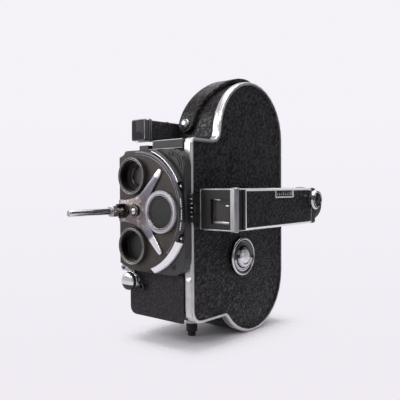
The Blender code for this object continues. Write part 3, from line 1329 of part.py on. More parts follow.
def spring_motor():
    """Spring barrel with its great wheel on the crank's arbor, and the idler between the sprockets."""
    centre = (BARREL_Y, BARREL_Z)
    pivot("mainspring_barrel", (GEAR_LEFT, *centre), "camera")
    bore = ARBOR_RADIUS + BORE_CLEARANCE
    left = BARREL_LEFT
    teeth = gear_circle(centre, BARREL_GEAR - GEAR_TIP_CLEARANCE, BARREL_TEETH, 2, 1, GEAR_TOOTH)
    count = len(teeth)
    hub = circle_points(centre, bore, count)
    drum = circle_points(centre, BARREL_RADIUS, count)
    levels = [(hub, left), (drum, left), (drum, GEAR_LEFT), (teeth, GEAR_LEFT), (teeth, GEAR_RIGHT),
              (hub, GEAR_RIGHT)]
    bm = bmesh.new()
    loft(bm, [place_points(outline, "x", along) for outline, along in levels], closed=True)
    add("mainspring_barrel", bm, "brass", "mainspring_barrel")
    pivot("idler_gear", (GEAR_LEFT, SPROCKET_Y, TURRET_Z), "camera")
    centre = (SPROCKET_Y, TURRET_Z)
    teeth = gear_circle(centre, IDLER_GEAR - GEAR_TIP_CLEARANCE, 6, 2, 1, GEAR_TOOTH)
    axle = circle_points(centre, THIN_SHAFT, 12)
    bm = bmesh.new()
    stack(bm, "x", [(axle, MOTOR_INSIDE + GAP), (axle, GEAR_LEFT), (teeth, GEAR_LEFT), (teeth, GEAR_RIGHT),
                    (axle, GEAR_RIGHT), (axle, SHAFT_RIGHT)])
    add("idler_gear", bm, "brass", "idler_gear")


# Crank side

def winding_crank():
    """Hub with the winding arbor, flat crank arm, and the grip that spins on its end."""
    centre = (BARREL_Y, BARREL_Z)
    pivot("winding_crank", (SIDE_SURFACE, *centre), "camera")
    hub_out = SIDE_SURFACE - CRANK_HUB_HEIGHT
    bm = bmesh.new()
    turn(bm, [(ARBOR_RADIUS, GEAR_RIGHT), (ARBOR_RADIUS, SIDE_SURFACE), (CRANK_HUB_RADIUS, SIDE_SURFACE),
              (CRANK_HUB_RADIUS, hub_out + 1.0), (CRANK_HUB_RADIUS - 1.0, hub_out)],
         "x", centre, 20)
    angle = math.radians(CRANK_ANGLE)
    tip = (BARREL_Y + CRANK_REACH * math.cos(angle), BARREL_Z + CRANK_REACH * math.sin(angle))
    crank = add("winding_crank", bm, "chrome", "winding_crank")

    def arm(inset):
        outline = arc(centre, CRANK_ARM_HALF - inset, CRANK_ANGLE + 90, CRANK_ANGLE + 270, 10)
        return outline + arc(tip, CRANK_TIP_HALF - inset, CRANK_ANGLE - 90, CRANK_ANGLE + 90, 10)

    arm_in = hub_out + CRANK_HUB_HEIGHT / 4
    arm_out = hub_out - CRANK_ARM_THICKNESS
    bar = bmesh.new()
    stack(bar, "x", [(arm(0.6), arm_out), (arm(0.0), arm_out + 0.6), (arm(0.0), arm_in)])
    join(crank, bar, "winding_crank")
    pivot("crank_grip", (arm_out, *tip), "winding_crank")
    start = arm_out - GAP
    end = start - GRIP_LENGTH
    bm = bmesh.new()
    turn(bm, [(GRIP_RADIUS * 0.7, start), (GRIP_RADIUS * 0.7, start - 1.5), (GRIP_RADIUS, start - 4.0),
              (GRIP_RADIUS * 0.86, start - GRIP_LENGTH * 0.55), (GRIP_RADIUS, end + 2.5),
              (GRIP_RADIUS * 0.8, end + 0.6), (GRIP_RADIUS * 0.4, end)],
         "x", tip, 12)
    add("crank_grip", bm, "hard_rubber", "crank_grip")


def speed_dial():
    """Stepped dial that sets the running speed."""
    pivot("speed_dial", (SIDE_SURFACE, SPEED_Y, SPEED_Z), "camera")
    out = SIDE_SURFACE - SPEED_HEIGHT
    bm = bmesh.new()
    turn(bm, [(SPROCKET_SHAFT, MOTOR_INSIDE + 1.5), (SPROCKET_SHAFT, SIDE_SURFACE),
              (SPEED_RADIUS, SIDE_SURFACE), (SPEED_RADIUS, SIDE_SURFACE - 2.0),
              (SPEED_RADIUS - 2.0, SIDE_SURFACE - 2.4),
              (SPEED_RADIUS - 2.4, out + 0.6), (SPEED_RADIUS - 3.0, out)],
         "x", (SPEED_Y, SPEED_Z), 16)
    add("speed_dial", bm, "chrome", "speed_dial")


# Whole camera

def centre_on_base():
    """Move the root so that the world's origin is under the middle of the camera's box."""
    bpy.context.view_layer.update()
    corners = []
    for piece in bpy.context.scene.objects:
        if piece.type == "MESH" and not piece.hide_render:
            corners += [piece.matrix_world @ vertex.co for vertex in piece.data.vertices]
    low = [min(corner[axis] for corner in corners) for axis in range(3)]
    high = [max(corner[axis] for corner in corners) for axis in range(3)]
    middle = Vector(((low[0] + high[0]) / 2, (low[1] + high[1]) / 2, low[2]))
    PIVOTS["camera"].location = -middle
    bpy.context.view_layer.update()


def main():
    for old in list(bpy.data.objects):
        bpy.data.objects.remove(old, do_unlink=True)
    pivot("camera")
    pivot("turret", (TURRET_X, TURRET_FRONT, TURRET_Z), "camera")
    pivot("lid", (LID_LEFT, HUMP_Y, TURRET_Z), "camera")
    pivot("finder", (HINGE_X, HINGE_Y, TURRET_Z), "lid")
    film_chamber_case()
    case_leather()
    motor_case()
    crank_side_leather()
    front_leather()
    foot("front_foot", FRONT_FOOT)
    foot("motor_foot", MOTOR_FOOT)
    tripod_boss()
    front_plate()
    turret_guard("upper_guard", 1)
    turret_guard("lower_guard", -1)
    release()
    time_lever()
    turret_disc()
    turret_spider()
    port_ring("upper_port_ring", "turret_bronze", PORTS["upper"], PORT_RING_RADIUS, PORT_RING_HEIGHT)
    port_ring("lower_port_ring", "turret_bronze", PORTS["lower"], PORT_RING_RADIUS, PORT_RING_HEIGHT)
    port_ring("taking_port_ring", "chrome", PORTS["taking"], TAKING_RING_RADIUS, TAKING_RING_HEIGHT)
    port_plug()
    hub_screw()
    turret_lever()
    shutter()
    eye_level_focuser()
    handle_strap()
    lid_shell()
    lid_leather()
    lid_lock()
    finder_housing()
    finder_front()
    finder_rear()
    finder_hinge()
    spool("feed_spool", UPPER_Z)
    spool("takeup_spool", LOWER_Z)
    sprocket("upper_sprocket", SPROCKET_HIGH)
    sprocket("lower_sprocket", SPROCKET_LOW)
    film_gate()
    spring_motor()
    winding_crank()
    speed_dial()
    centre_on_base()


main()
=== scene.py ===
# %% [markdown]
# # A spring-driven cine camera
# The packed model is loaded as a fixed frame: sixty solids with their places, bodies and joints. Each
# lesson below adds one thing to it, first the view and the light, then the finishes, then the small
# pieces that sit on the solids. The solids could be modelled again here, but the frame saves that work
# and keeps the dressed camera at the real one's size.
#
# Lengths in the lessons are millimetres from the body's middle plane (x), its front face (y) and the
# ground (z), as a maker would measure them. `at` turns them into the frame's metres.

# %% Load the frame
import math

import bmesh
import bpy
from mathutils import Matrix, Vector


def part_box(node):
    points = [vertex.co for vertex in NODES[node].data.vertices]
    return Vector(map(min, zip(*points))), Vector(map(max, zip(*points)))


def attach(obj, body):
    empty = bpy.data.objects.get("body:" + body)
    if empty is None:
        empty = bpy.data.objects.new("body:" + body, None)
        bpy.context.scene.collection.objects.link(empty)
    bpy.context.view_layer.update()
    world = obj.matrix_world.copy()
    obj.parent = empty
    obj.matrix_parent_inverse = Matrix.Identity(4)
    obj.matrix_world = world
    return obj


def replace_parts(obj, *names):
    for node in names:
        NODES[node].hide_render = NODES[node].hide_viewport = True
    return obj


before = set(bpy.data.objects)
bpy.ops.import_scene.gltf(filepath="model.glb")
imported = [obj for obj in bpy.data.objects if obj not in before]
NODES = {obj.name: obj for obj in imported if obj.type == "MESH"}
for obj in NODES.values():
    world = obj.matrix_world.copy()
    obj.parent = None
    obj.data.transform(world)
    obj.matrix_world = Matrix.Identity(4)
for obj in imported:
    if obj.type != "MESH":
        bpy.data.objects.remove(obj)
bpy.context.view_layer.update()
MM = 0.001
DOOR_SIDE = 34.1
SHIFT = Vector((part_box("lid_shell")[1][0] - DOOR_SIDE * MM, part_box("film_chamber_case")[0][1], 0.0))


def at(x, y, z):
    """A point of the camera body in the frame's metres."""
    return Vector((x, y, z)) * MM + SHIFT


# %% [markdown]
# ## Camera
# The photograph looks at the front and the film door from just above the middle of the body. A Blender
# camera could be aimed by eye or by a Track To constraint. Its angles and focal length were fitted to the
# body's straight edges instead, so its matrix is built from them, and a piece that is placed by the frame
# lands where the photograph has it.

# %% Camera
AZIMUTH, ELEVATION, ROLL = (math.radians(angle) for angle in (40.18, 1.45, -0.32))
FOCAL_PIXELS, FRAME_PIXELS, SENSOR = 522.2, 400, 36.0
EYE = at(291.84, -295.4, 126.07)


def camera_axes():
    """Right, up and back of the photograph's camera."""
    level = math.cos(ELEVATION)
    back = Vector((math.sin(AZIMUTH) * level, -math.cos(AZIMUTH) * level, math.sin(ELEVATION)))
    right = Vector((math.cos(AZIMUTH), math.sin(AZIMUTH), 0.0))
    up = back.cross(right)
    lean, tip = math.cos(ROLL), math.sin(ROLL)
    return right * lean + up * tip, up * lean - right * tip, back


lens = bpy.data.cameras.new("view")
lens.sensor_width = SENSOR
lens.lens = FOCAL_PIXELS / FRAME_PIXELS * SENSOR
lens.clip_start = 0.01
viewer = bpy.data.objects.new("view", lens)
viewer.matrix_world = Matrix.Translation(EYE) @ Matrix(camera_axes()).transposed().to_4x4()
bpy.context.scene.collection.objects.link(viewer)
bpy.context.scene.camera = viewer
print("camera lens", round(lens.lens, 1), "mm")

# %% [markdown]
# ## Shader arithmetic
# A finish is a graph of nodes, and most of them only add, scale or clamp numbers. They could be added and
# linked one call at a time, which hides the idea behind the wiring. `Wire` wraps a socket instead, so
# that an expression such as `1 - mask * 0.5` adds its own Math nodes, and `make` adds any other node in
# one call.

# %% Shader arithmetic


class Wire:
    """A shader socket that takes part in arithmetic."""

    def __init__(self, tree, socket):
        self.tree, self.socket = tree, socket

    def make(self, kind, inputs=None, output=0, **settings):
        """Add a node of a kind, with settings and socket values or links, and wrap an output."""
        node = self.tree.nodes.new("ShaderNode" + kind)
        for key, value in settings.items():
            setattr(node, key, value)
        for key, value in (inputs or {}).items():
            if isinstance(value, Wire):
                self.tree.links.new(value.socket, node.inputs[key])
            else:
                node.inputs[key].default_value = value
        return Wire(self.tree, node.outputs[output])

    def math(self, operation, *others):
        """One Math node with this socket first."""
        return self.make("Math", dict(enumerate((self, *others))), operation=operation)

    def vector(self, operation, *others, output=0):
        """One Vector Math node with this socket first; output 1 is its number."""
        return self.make("VectorMath", dict(enumerate((self, *others))), output, operation=operation)

    def __add__(self, other):
        return self.math("ADD", other)

    def __sub__(self, other):
        return self.math("SUBTRACT", other)

    def __mul__(self, other):
        return self.math("MULTIPLY", other)

    def __rsub__(self, other):
        return self.make("Math", {0: other, 1: self}, operation="SUBTRACT")

    def __rpow__(self, other):
        return self.make("Math", {0: other, 1: self}, operation="POWER")

    __radd__ = __add__
    __rmul__ = __mul__

    def axis(self, index):
        """One coordinate of a vector."""
        return self.make("SeparateXYZ", {0: self}, index)

    def span(self, low, high, start=0.0, end=1.0, **settings):
        """Map this value from low..high to start..end, clamped."""
        ends = {"From Min": low, "From Max": high, "To Min": start, "To Max": end}
        return self.make("MapRange", {"Value": self, **ends}, **settings)

    def over(self, under, top):
        """Lay a fixed colour over a colour or a colour socket, by this value."""
        return self.make("Mix", {0: self, 6: under, 7: (*top, 1.0)}, output=2, data_type="RGBA")

    def tint(self, dark, light):
        """A colour between two, by this value."""
        return self.over((*dark, 1.0), light)


print("arithmetic ready:", [name for name in vars(Wire) if not name.startswith("__")])

# %% [markdown]
# ## A material to write on
# Every finish here is one Principled shader with a few sockets fed by patterns. The patterns could follow
# UV maps, which each piece would have to be unwrapped for. `Surface` takes them from noise over the
# object's own coordinates, which needs no unwrapping and runs on unbroken from face to face.

# %% A material to write on


class Surface:
    """A Principled material whose sockets are set by name."""

    def __init__(self, name, **constants):
        self.material = bpy.data.materials.new(name)
        self.material.use_nodes = True
        self.tree = self.material.node_tree
        self.shader = self.tree.nodes["Principled BSDF"]
        self.place = Wire(self.tree, self.tree.nodes.new("ShaderNodeTexCoord").outputs["Object"])
        for key, value in constants.items():
            self.shader.inputs[key.replace("_", " ")].default_value = value

    def set(self, socket, wire):
        """Feed a varying value to one of the shader's sockets."""
        self.tree.links.new(wire.socket, self.shader.inputs[socket])

    def noise(self, scale, detail=3.0, place=None):
        """Cloudy values about 0.5; scale is in cells to a metre."""
        return self.place.make("TexNoise", {"Vector": place or self.place, "Scale": scale, "Detail": detail})

    def streaks(self, scales):
        """Noise with its own number of cells to a metre along x, y and z, which draws it out into lines."""
        return self.noise(1.0, 4.0, self.place.make("Mapping", {"Vector": self.place, "Scale": scales}))

    def bump(self, height, depth):
        """Relief from a height of 0..1, depth in millimetres."""
        self.set("Normal", height.make("Bump", {"Height": height, "Distance": depth * MM}))


print("material class ready")

# %% [markdown]
# ## Floor
# The object stands on a pale sheet that can't be told from the wall behind it. A curved backdrop could be
# modelled. A flat sheet is simpler: it keeps the soft shadow under the body and turns clear with the
# distance from it, so that the white surround shows through and no horizon is seen.

# %% Floor
PAPER_DARK, PAPER_LIGHT = (0.80, 0.775, 0.82), (0.83, 0.80, 0.845)
FOOT_MIDDLE, FOOT_HALF = at(0.0, 64.0, 0.0), Vector((34.0, 62.0, 10.0)) * MM
FADE_BASE, FADE_RATE = 2.718, -105.0
FLOOR_DROP = 0.0002


def light_path(start, kind):
    """1 for rays of one kind."""
    return start.make("LightPath", output="Is %s Ray" % kind)


def seen_rays(start):
    """1 for rays that show the backdrop: from the lens, off metal and through glass."""
    camera, glossy, through = (light_path(start, kind) for kind in ("Camera", "Glossy", "Transmission"))
    return camera.math("MAXIMUM", glossy).math("MAXIMUM", through)


def paper():
    """Matt paper that clears for seen rays away from the body's footprint."""
    skin = Surface("paper", Roughness=0.9, Specular_IOR_Level=0.1)
    skin.set("Base Color", skin.noise(900.0, 2.0).tint(PAPER_DARK, PAPER_LIGHT))
    outside = skin.place.vector("SUBTRACT", FOOT_MIDDLE).vector("ABSOLUTE").vector("SUBTRACT", FOOT_HALF)
    away = outside.vector("MAXIMUM", (0.0, 0.0, 0.0)).vector("LENGTH", output=1)
    clear = (1.0 - FADE_BASE ** (away * FADE_RATE)) * seen_rays(skin.place)
    solid = Wire(skin.tree, skin.shader.outputs[0])
    mixed = clear.make("MixShader", {0: clear, 1: solid, 2: clear.make("BsdfTransparent")})
    skin.tree.links.new(mixed.socket, skin.tree.nodes["Material Output"].inputs["Surface"])
    return skin.material


sheet = bpy.data.meshes.new("floor")
sheet.from_pydata([(-1, -1, 0), (1, -1, 0), (1, 1, 0), (-1, 1, 0)], [], [(0, 1, 2, 3)])
sheet.materials.append(paper())
floor = bpy.data.objects.new("floor", sheet)
floor.location.z = -FLOOR_DROP
bpy.context.scene.collection.objects.link(floor)
print("floor:", floor.name)

# %% [markdown]
# ## Surround
# Bright trim looks like metal only if it mirrors something light and something dark. Cards could be set
# round the object, as in a studio. The world does it here: rays from the lens see a white backdrop,
# mirrored rays see it fall off towards the viewer's side, and all other rays get a softer level that only
# lights the object.

# %% Surround
LOW_SKY, HIGH_SKY = (0.875, 0.838, 0.895), (0.912, 0.884, 0.942)
SOFT_LIGHT = (0.95, 0.94, 0.97, 1.0)
VIEW_SIDE = (math.sin(AZIMUTH), -math.cos(AZIMUTH), 0.0)


def surround():
    """The world: a backdrop for seen rays and a plain light for the rest."""
    world = bpy.data.worlds.new("surround")
    world.use_nodes = True
    tree = world.node_tree
    way = Wire(tree, tree.nodes.new("ShaderNodeTexCoord").outputs["Generated"])
    high, right = way.axis(2), way.axis(0)
    near = way.vector("DOT_PRODUCT", VIEW_SIDE, output=1)
    white = high.span(-0.30, 0.12).tint(LOW_SKY, HIGH_SKY)
    mirrored = near.span(-0.85, -0.15, 1.0, 0.32) * right.span(0.0, 0.5, 1.0, 0.30)
    floor_glow = high.span(-0.25, -0.03, 0.90, 0.0)
    bright = mirrored.math("MAXIMUM", floor_glow).math("MAXIMUM", light_path(way, "Camera"))
    backdrop = way.make("Background", {"Color": white, "Strength": bright})
    level = high.span(-0.10, 0.25, 0.10, 0.55)
    light = way.make("Background", {"Color": SOFT_LIGHT, "Strength": level})
    mixed = way.make("MixShader", {0: seen_rays(way), 1: light, 2: backdrop})
    tree.links.new(mixed.socket, tree.nodes["World Output"].inputs["Surface"])
    return world


bpy.context.scene.world = surround()
bpy.context.scene.view_settings.view_transform = "Standard"
print("world:", bpy.context.scene.world.name)

# %% [markdown]
# ## Lamps
# The photograph has soft light from above and from the left, and a smaller source that draws the
# highlights on the trim. Point lamps would throw hard shadows, so each lamp is a rectangle of light as
# large as the panel or window that it stands for.

# %% Lamps
AIM = (0.0, 0.02, 0.11)
LAMPS = {  # place, width and height, power
    "overhead": ((0.05, 0.05, 1.2), (1.2, 1.2), 9.5),
    "left window": ((-0.9, -1.0, 0.6), (0.9, 1.0), 7.5),
    "key": ((0.30, -1.0, 0.95), (0.35, 0.35), 4.0),
    "right window": ((1.2, -0.1, 0.6), (0.5, 0.7), 1.6),
}


def soft_panel(name, place, size, power):
    """A rectangular area light at a place, turned towards the object."""
    data = bpy.data.lights.new(name, "AREA")
    data.shape = "RECTANGLE"
    data.size, data.size_y = size
    data.energy = power
    lamp = bpy.data.objects.new(name, data)
    lamp.location = place
    lamp.rotation_euler = (Vector(AIM) - Vector(place)).to_track_quat("-Z", "Y").to_euler()
    bpy.context.scene.collection.objects.link(lamp)


for name, (place, size, power) in LAMPS.items():
    soft_panel(name, place, size, power)
print("lamps:", list(LAMPS))

# %% [markdown]
# ## Leather
# The body is covered in black grained leather: small shiny pebbles, dark creases between them, and a
# grain that runs slantwise. A texture of round cells would make every pebble the same stone. Here a
# crease lies wherever a noise field passes its middle value, which gives open, winding lines, and the
# lower of two such fields breaks them up. Taking away part of the way along the grain draws the pebbles
# out.

# %% Leather
GRAIN_WAY = Vector((0.30, 0.80, 0.50)).normalized()
DRAW_OUT = 0.62
CREASE_WIDTH = 0.14
CREASE_FIELDS = ((1.0, 0.0), (0.72, 3.7))  # scale and offset


def grained_leather(name, dark, light, cell, depth, roughness, gloss):
    """Grained leather; cell and depth are the grain's in millimetres, gloss is the shine on its tops."""
    skin = Surface(name, Specular_IOR_Level=0.12, Coat_Roughness=0.14)
    share = skin.place.vector("DOT_PRODUCT", GRAIN_WAY, output=1) * DRAW_OUT
    along = share.make("VectorMath", {0: GRAIN_WAY, "Scale": share}, operation="SCALE")
    drawn = skin.place.vector("SUBTRACT", along)
    fields = []
    for scale, offset in CREASE_FIELDS:
        wave = skin.noise(scale / (cell * 1.5 * MM), 0.6, drawn.vector("ADD", (offset, offset, offset))) - 0.5
        fields.append(wave.math("ABSOLUTE").span(0.0, CREASE_WIDTH, interpolation_type="SMOOTHSTEP"))
    pebble = fields[0].math("MINIMUM", fields[1])
    pores, patch = skin.noise(2600.0), skin.noise(38.0)
    # The base colour is near black in the creases and lighter on the pebbles' tops: painted shade in the
    # creases and a painted highlight on the tops.
    skin.set("Base Color", (pebble * 0.9 + patch * 0.2 - 0.05).tint(dark, light))
    skin.set("Roughness", roughness + patch * 0.06 - pebble * 0.10)
    skin.set("Coat Weight", (pebble * 0.9 + 0.1) * gloss)
    skin.bump(pebble * 0.92 + pores * 0.08, depth)
    return skin.material


BLACK, COAL = (0.0020, 0.0019, 0.0022), (0.027, 0.0251, 0.0289)
BODY_LEATHER = grained_leather("body leather", BLACK, COAL, cell=1.42, depth=0.80, roughness=0.40, gloss=0.56)
# The winding side's leather is a darker copy of the body leather: painted shade for a side that takes more
# light.
SIDE_LEATHER = grained_leather("winding side leather", BLACK, (0.014, 0.0130, 0.0150),
                               cell=1.42, depth=0.80, roughness=0.40, gloss=0.56)
FINE_LEATHER = grained_leather("fine leather", BLACK, (0.017, 0.0158, 0.0182),
                               cell=1.35, depth=0.48, roughness=0.40, gloss=0.35)
# The case's leather is a lighter copy of the body leather with a smoother grain. Its lighter tone is painted
# light on the hump, which faces the light.
CASE_LEATHER = grained_leather("case leather", (0.008, 0.0074, 0.0086), (0.034, 0.0316, 0.0364),
                               cell=1.5, depth=0.24, roughness=0.36, gloss=0.60)
# The front's leather is a lighter copy of the body leather with a smoother grain. Its lighter tone is painted
# light on the front face, which takes more light.
FRONT_LEATHER = grained_leather("front leather", (0.016, 0.0149, 0.0170), (0.034, 0.0317, 0.0363),
                                cell=1.2, depth=0.10, roughness=0.48, gloss=0.16)
SCOPE_LEATHER = grained_leather("focuser leather", (0.022, 0.0205, 0.0235), (0.050, 0.0465, 0.0535),
                                cell=1.2, depth=0.16, roughness=0.42, gloss=0.40)
STRAP_LEATHER = grained_leather("strap leather", (0.006, 0.005, 0.005), (0.042, 0.038, 0.037),
                                cell=1.1, depth=0.10, roughness=0.36, gloss=0.50)
print("leathers:", [material.name for material in bpy.data.materials if "leather" in material.name])

# %% [markdown]
# ## Bare metals
# The trim is chrome, nickel, steel and brass, handled for decades. One colour and one roughness would
# look like plastic under soft light. So one noise gives cloudy tarnish, and another, stretched along the
# axes, the lines left by polishing or turning. Both feed the colour and the roughness, and the lines a
# very low bump.

# %% Bare metals


def metal(name, dark, light, roughness, streak, grain, metallic=1.0):
    """Worn metal; streak is the polishing lines' cells to a metre, grain their depth in millimetres."""
    skin = Surface(name, Metallic=metallic)
    lines, cloud = skin.streaks(streak), skin.noise(55.0, 4.0)
    skin.set("Base Color", (cloud * 0.7 + lines * 0.5 - 0.1).span(0.25, 0.75).tint(dark, light))
    skin.set("Roughness", roughness + cloud * 0.12 - 0.06 + lines * 0.08)
    skin.bump(lines, grain)
    return skin.material


WIPED = (900, 260, 260)
CHROME = metal("polished trim", (0.60, 0.60, 0.63), (0.86, 0.86, 0.88), 0.14, WIPED, 0.004)
TRIM = metal("bright trim", (0.78, 0.78, 0.80), (0.92, 0.92, 0.94), 0.18, WIPED, 0.004, metallic=0.45)
BAND = metal("lid band", (0.54, 0.525, 0.53), (0.80, 0.79, 0.80), 0.28, WIPED, 0.004, metallic=0.92)
BEZEL = metal("finder bezel", (0.30, 0.30, 0.31), (0.56, 0.56, 0.58), 0.26, (900, 900, 60), 0.006,
              metallic=0.92)
BRIGHT = metal("bright slope", (0.84, 0.83, 0.85), (0.93, 0.92, 0.94), 0.30, (700,) * 3, 0.006, metallic=0.6)
SATIN = metal("satin nickel", (0.30, 0.275, 0.255), (0.50, 0.475, 0.46), 0.34, (1400, 300, 300), 0.010)
RING_SATIN = metal("satin ring", (0.34, 0.325, 0.35), (0.54, 0.52, 0.56), 0.34, (700,) * 3, 0.010)
STEEL = metal("steel", (0.40, 0.40, 0.40), (0.62, 0.62, 0.63), 0.26, (500, 500, 1600), 0.006)
BRASS = metal("brass", (0.42, 0.30, 0.12), (0.68, 0.52, 0.26), 0.30, (600,) * 3, 0.006)
LIP = metal("worn lip", (0.24, 0.23, 0.22), (0.46, 0.45, 0.44), 0.28, (500,) * 3, 0.006)
RIM = metal("turret rim", (0.070, 0.066, 0.080), (0.150, 0.143, 0.168), 0.26, (400,) * 3, 0.006)
DISH = metal("smoked chrome", (0.055, 0.055, 0.058), (0.15, 0.15, 0.155), 0.12, (500,) * 3, 0.004)
BROWNED = metal("browned steel", (0.030, 0.025, 0.021), (0.085, 0.072, 0.060), 0.34, (700,) * 3, 0.012)
EDGE_STEEL = metal("rubbed edge", (0.16, 0.16, 0.16), (0.42, 0.42, 0.43), 0.26, (300,) * 3, 0.006)
DARK_STEEL = metal("dark steel", (0.030, 0.030, 0.031), (0.085, 0.083, 0.080), 0.34, (900,) * 3, 0.010)
BORE = metal("blackened bore", (0.014, 0.0136, 0.0126), (0.044, 0.042, 0.038), 0.30, (500,) * 3, 0.010)
print("metals from", CHROME.name, "to", BORE.name)

# %% [markdown]
# ## Paints and rubber
# The castings, the turret and the rubber parts are dull and dark, with the fine pimples of sprayed paint,
# paler rubbed patches and a little dust. The dust could be a second shader laid over the first. A mask of
# cut-off noise that mixes in one pale colour looks the same and keeps the material to one shader.

# %% Paints and rubber
DUST = (0.16, 0.145, 0.13)


def worn_paint(name, dark, light, roughness, dust=0.0, grain=0.03, metallic=0.0, clouds=48.0):
    """Dull paint; dust is a share, grain the pimples' height in mm, and clouds the patches to a metre."""
    skin = Surface(name, Metallic=metallic)
    cloud, peel = skin.noise(clouds, 4.0), skin.noise(1500.0, 2.0)
    specks = skin.noise(900.0, 2.0).span(0.62, 0.80)
    colour = (cloud * 0.8 + peel * 0.3).span(0.3, 0.8).tint(dark, light)
    skin.set("Base Color", (specks * dust).over(colour, DUST))
    skin.set("Roughness", roughness + cloud * 0.14 - 0.07)
    skin.bump(peel, grain)
    return skin.material


ENAMEL = worn_paint("black enamel", (0.006, 0.006, 0.0065), (0.016, 0.0155, 0.017), 0.36)
MATT = worn_paint("matt black", (0.002, 0.002, 0.002), (0.007, 0.0068, 0.0072), 0.52)
STRIP = worn_paint("top strip paint", (0.011, 0.0107, 0.0113), (0.026, 0.0253, 0.0267), 0.42,
                   dust=0.20, grain=0.05)
CRACKLE = worn_paint("crackle paint", (0.006, 0.006, 0.0062), (0.020, 0.0195, 0.0205), 0.46,
                     dust=0.15, grain=0.30)
PLATE = worn_paint("front plate paint", (0.013, 0.0128, 0.0134), (0.037, 0.036, 0.038), 0.42,
                   dust=0.20, grain=0.05)
HEAD = worn_paint("focuser paint", (0.045, 0.0438, 0.0462), (0.095, 0.0925, 0.0975), 0.40,
                  dust=0.10, grain=0.04)
RUBBER = worn_paint("hard rubber", (0.008, 0.008, 0.008), (0.018, 0.018, 0.018), 0.55, dust=0.1, grain=0.05)
BRONZE = worn_paint("turret finish", (0.027, 0.0216, 0.0188), (0.060, 0.0500, 0.0442), 0.46,
                    dust=0.8, grain=0.06, metallic=0.45)
PLUG = worn_paint("plug finish", (0.002, 0.0019, 0.0021), (0.017, 0.0164, 0.0174), 0.62,
                  dust=0.60, grain=0.05, clouds=260.0)
print("paints from", ENAMEL.name, "to", PLUG.name)

# %% [markdown]
# ## Spring plate and release cap
# The turret's spring plate is browned round the hub, and the ends of its arms are painted white as a painted
# highlight. The release button's cap is painted dark along its lower part, a painted dark reflection. Such
# marks could be painted on a texture by hand. They follow the shape so simply that distances from two points
# and a height above the ground are enough to place them.

# %% Spring plate and release cap
BROWN_CENTRE, TIP_HIGHLIGHT_CENTRE = at(-17.0, -12.9, 107.1), at(-13.5, -12.9, 112.8)
REFLECTION_TOP, REFLECTION_BOTTOM = 0.0476, 0.0470


def spring_plate():
    """Satin plate, browned round the hub and on the tail, with a painted white highlight at the arms' ends.
    """
    skin = Surface("spring plate", Metallic=1.0)
    from_hub = skin.place.vector("DISTANCE", BROWN_CENTRE, output=1)
    from_tip_highlight = skin.place.vector("DISTANCE", TIP_HIGHLIGHT_CENTRE, output=1)
    cloud, scratch = skin.noise(90.0, 4.0), skin.streaks((1500, 300, 260))
    brown = from_hub.span(0.024, 0.008) * cloud.span(0.25, 0.6, 0.55, 1.0)
    rubbed = skin.noise(330.0, 5.0).span(0.50, 0.68) * from_hub.span(0.022, 0.012)
    # Beyond this distance, at the arms' ends, the colour is painted near white: a painted highlight.
    white = (from_tip_highlight + cloud * 0.005).span(0.0325, 0.0345)
    colour = (cloud * 0.6 + scratch * 0.4).span(0.3, 0.7).tint((0.155, 0.146, 0.182), (0.30, 0.285, 0.335))
    colour = rubbed.over(brown.over(colour, (0.205, 0.168, 0.150)), (0.50, 0.47, 0.46))
    skin.set("Base Color", white.over(colour, (0.90, 0.89, 0.91)))
    skin.set("Roughness", cloud * 0.16 + scratch * 0.08 + 0.24 - white * 0.04)
    skin.bump(scratch, 0.006)
    return skin.material


def chrome_with_painted_reflection():
    """Bright chrome whose lower part is painted dark, a painted dark reflection."""
    skin = Surface("chrome with painted dark reflection", Metallic=0.7)
    cloud = skin.noise(140.0)
    # Below this height the colour goes dark brown: a painted dark reflection on the cap's lower part.
    dark = (skin.place.axis(2) + cloud * 0.0008).span(REFLECTION_TOP, REFLECTION_BOTTOM)
    colour = cloud.tint((0.70, 0.70, 0.72), (0.88, 0.88, 0.90))
    skin.set("Base Color", dark.over(colour, (0.050, 0.042, 0.046)))
    skin.set("Roughness", cloud * 0.10 + 0.08 + dark * 0.14)
    return skin.material


SPIDER, CAP = spring_plate(), chrome_with_painted_reflection()
print("spring plate and release cap:", SPIDER.name, "and", CAP.name)

# %% [markdown]
# ## Glass
# Lenses and panes of an old camera look dark, because next to nothing behind them is lit. Real refraction
# would show an empty tube and slow the render. So glass is a dark, smooth surface under a clear coat,
# with a slow drift of tint, and its gloss says how much of the room it mirrors.

# %% Glass


def dark_glass(name, dark, light, gloss=0.5):
    """Dark glossy glass with slow colour drift."""
    skin = Surface(name, Specular_IOR_Level=gloss, Coat_Weight=gloss, Coat_Roughness=0.02)
    drift = skin.noise(60.0, 2.0)
    skin.set("Base Color", drift.tint(dark, light))
    skin.set("Roughness", drift * 0.05 + 0.03)
    return skin.material


GLASS = dark_glass("coated glass", (0.012, 0.014, 0.016), (0.030, 0.034, 0.036))
PANE = dark_glass("finder pane", (0.030, 0.026, 0.026), (0.075, 0.067, 0.066))
LENS = dark_glass("dark lens", (0.002, 0.0024, 0.0026), (0.006, 0.007, 0.0072), gloss=0.2)
SMOKE = dark_glass("smoked glass", (0.024, 0.0230, 0.0245), (0.046, 0.0440, 0.0465), gloss=0.06)
print("glass:", GLASS.name, PANE.name, LENS.name, SMOKE.name)

# %% [markdown]
# ## Dress the solids
# Most solids of the frame have the right shape already and only need a finish. Each could be dressed in
# the lesson about it, but one table shows at a glance which of them share a finish, and the line that it
# prints would name a solid that was forgotten.

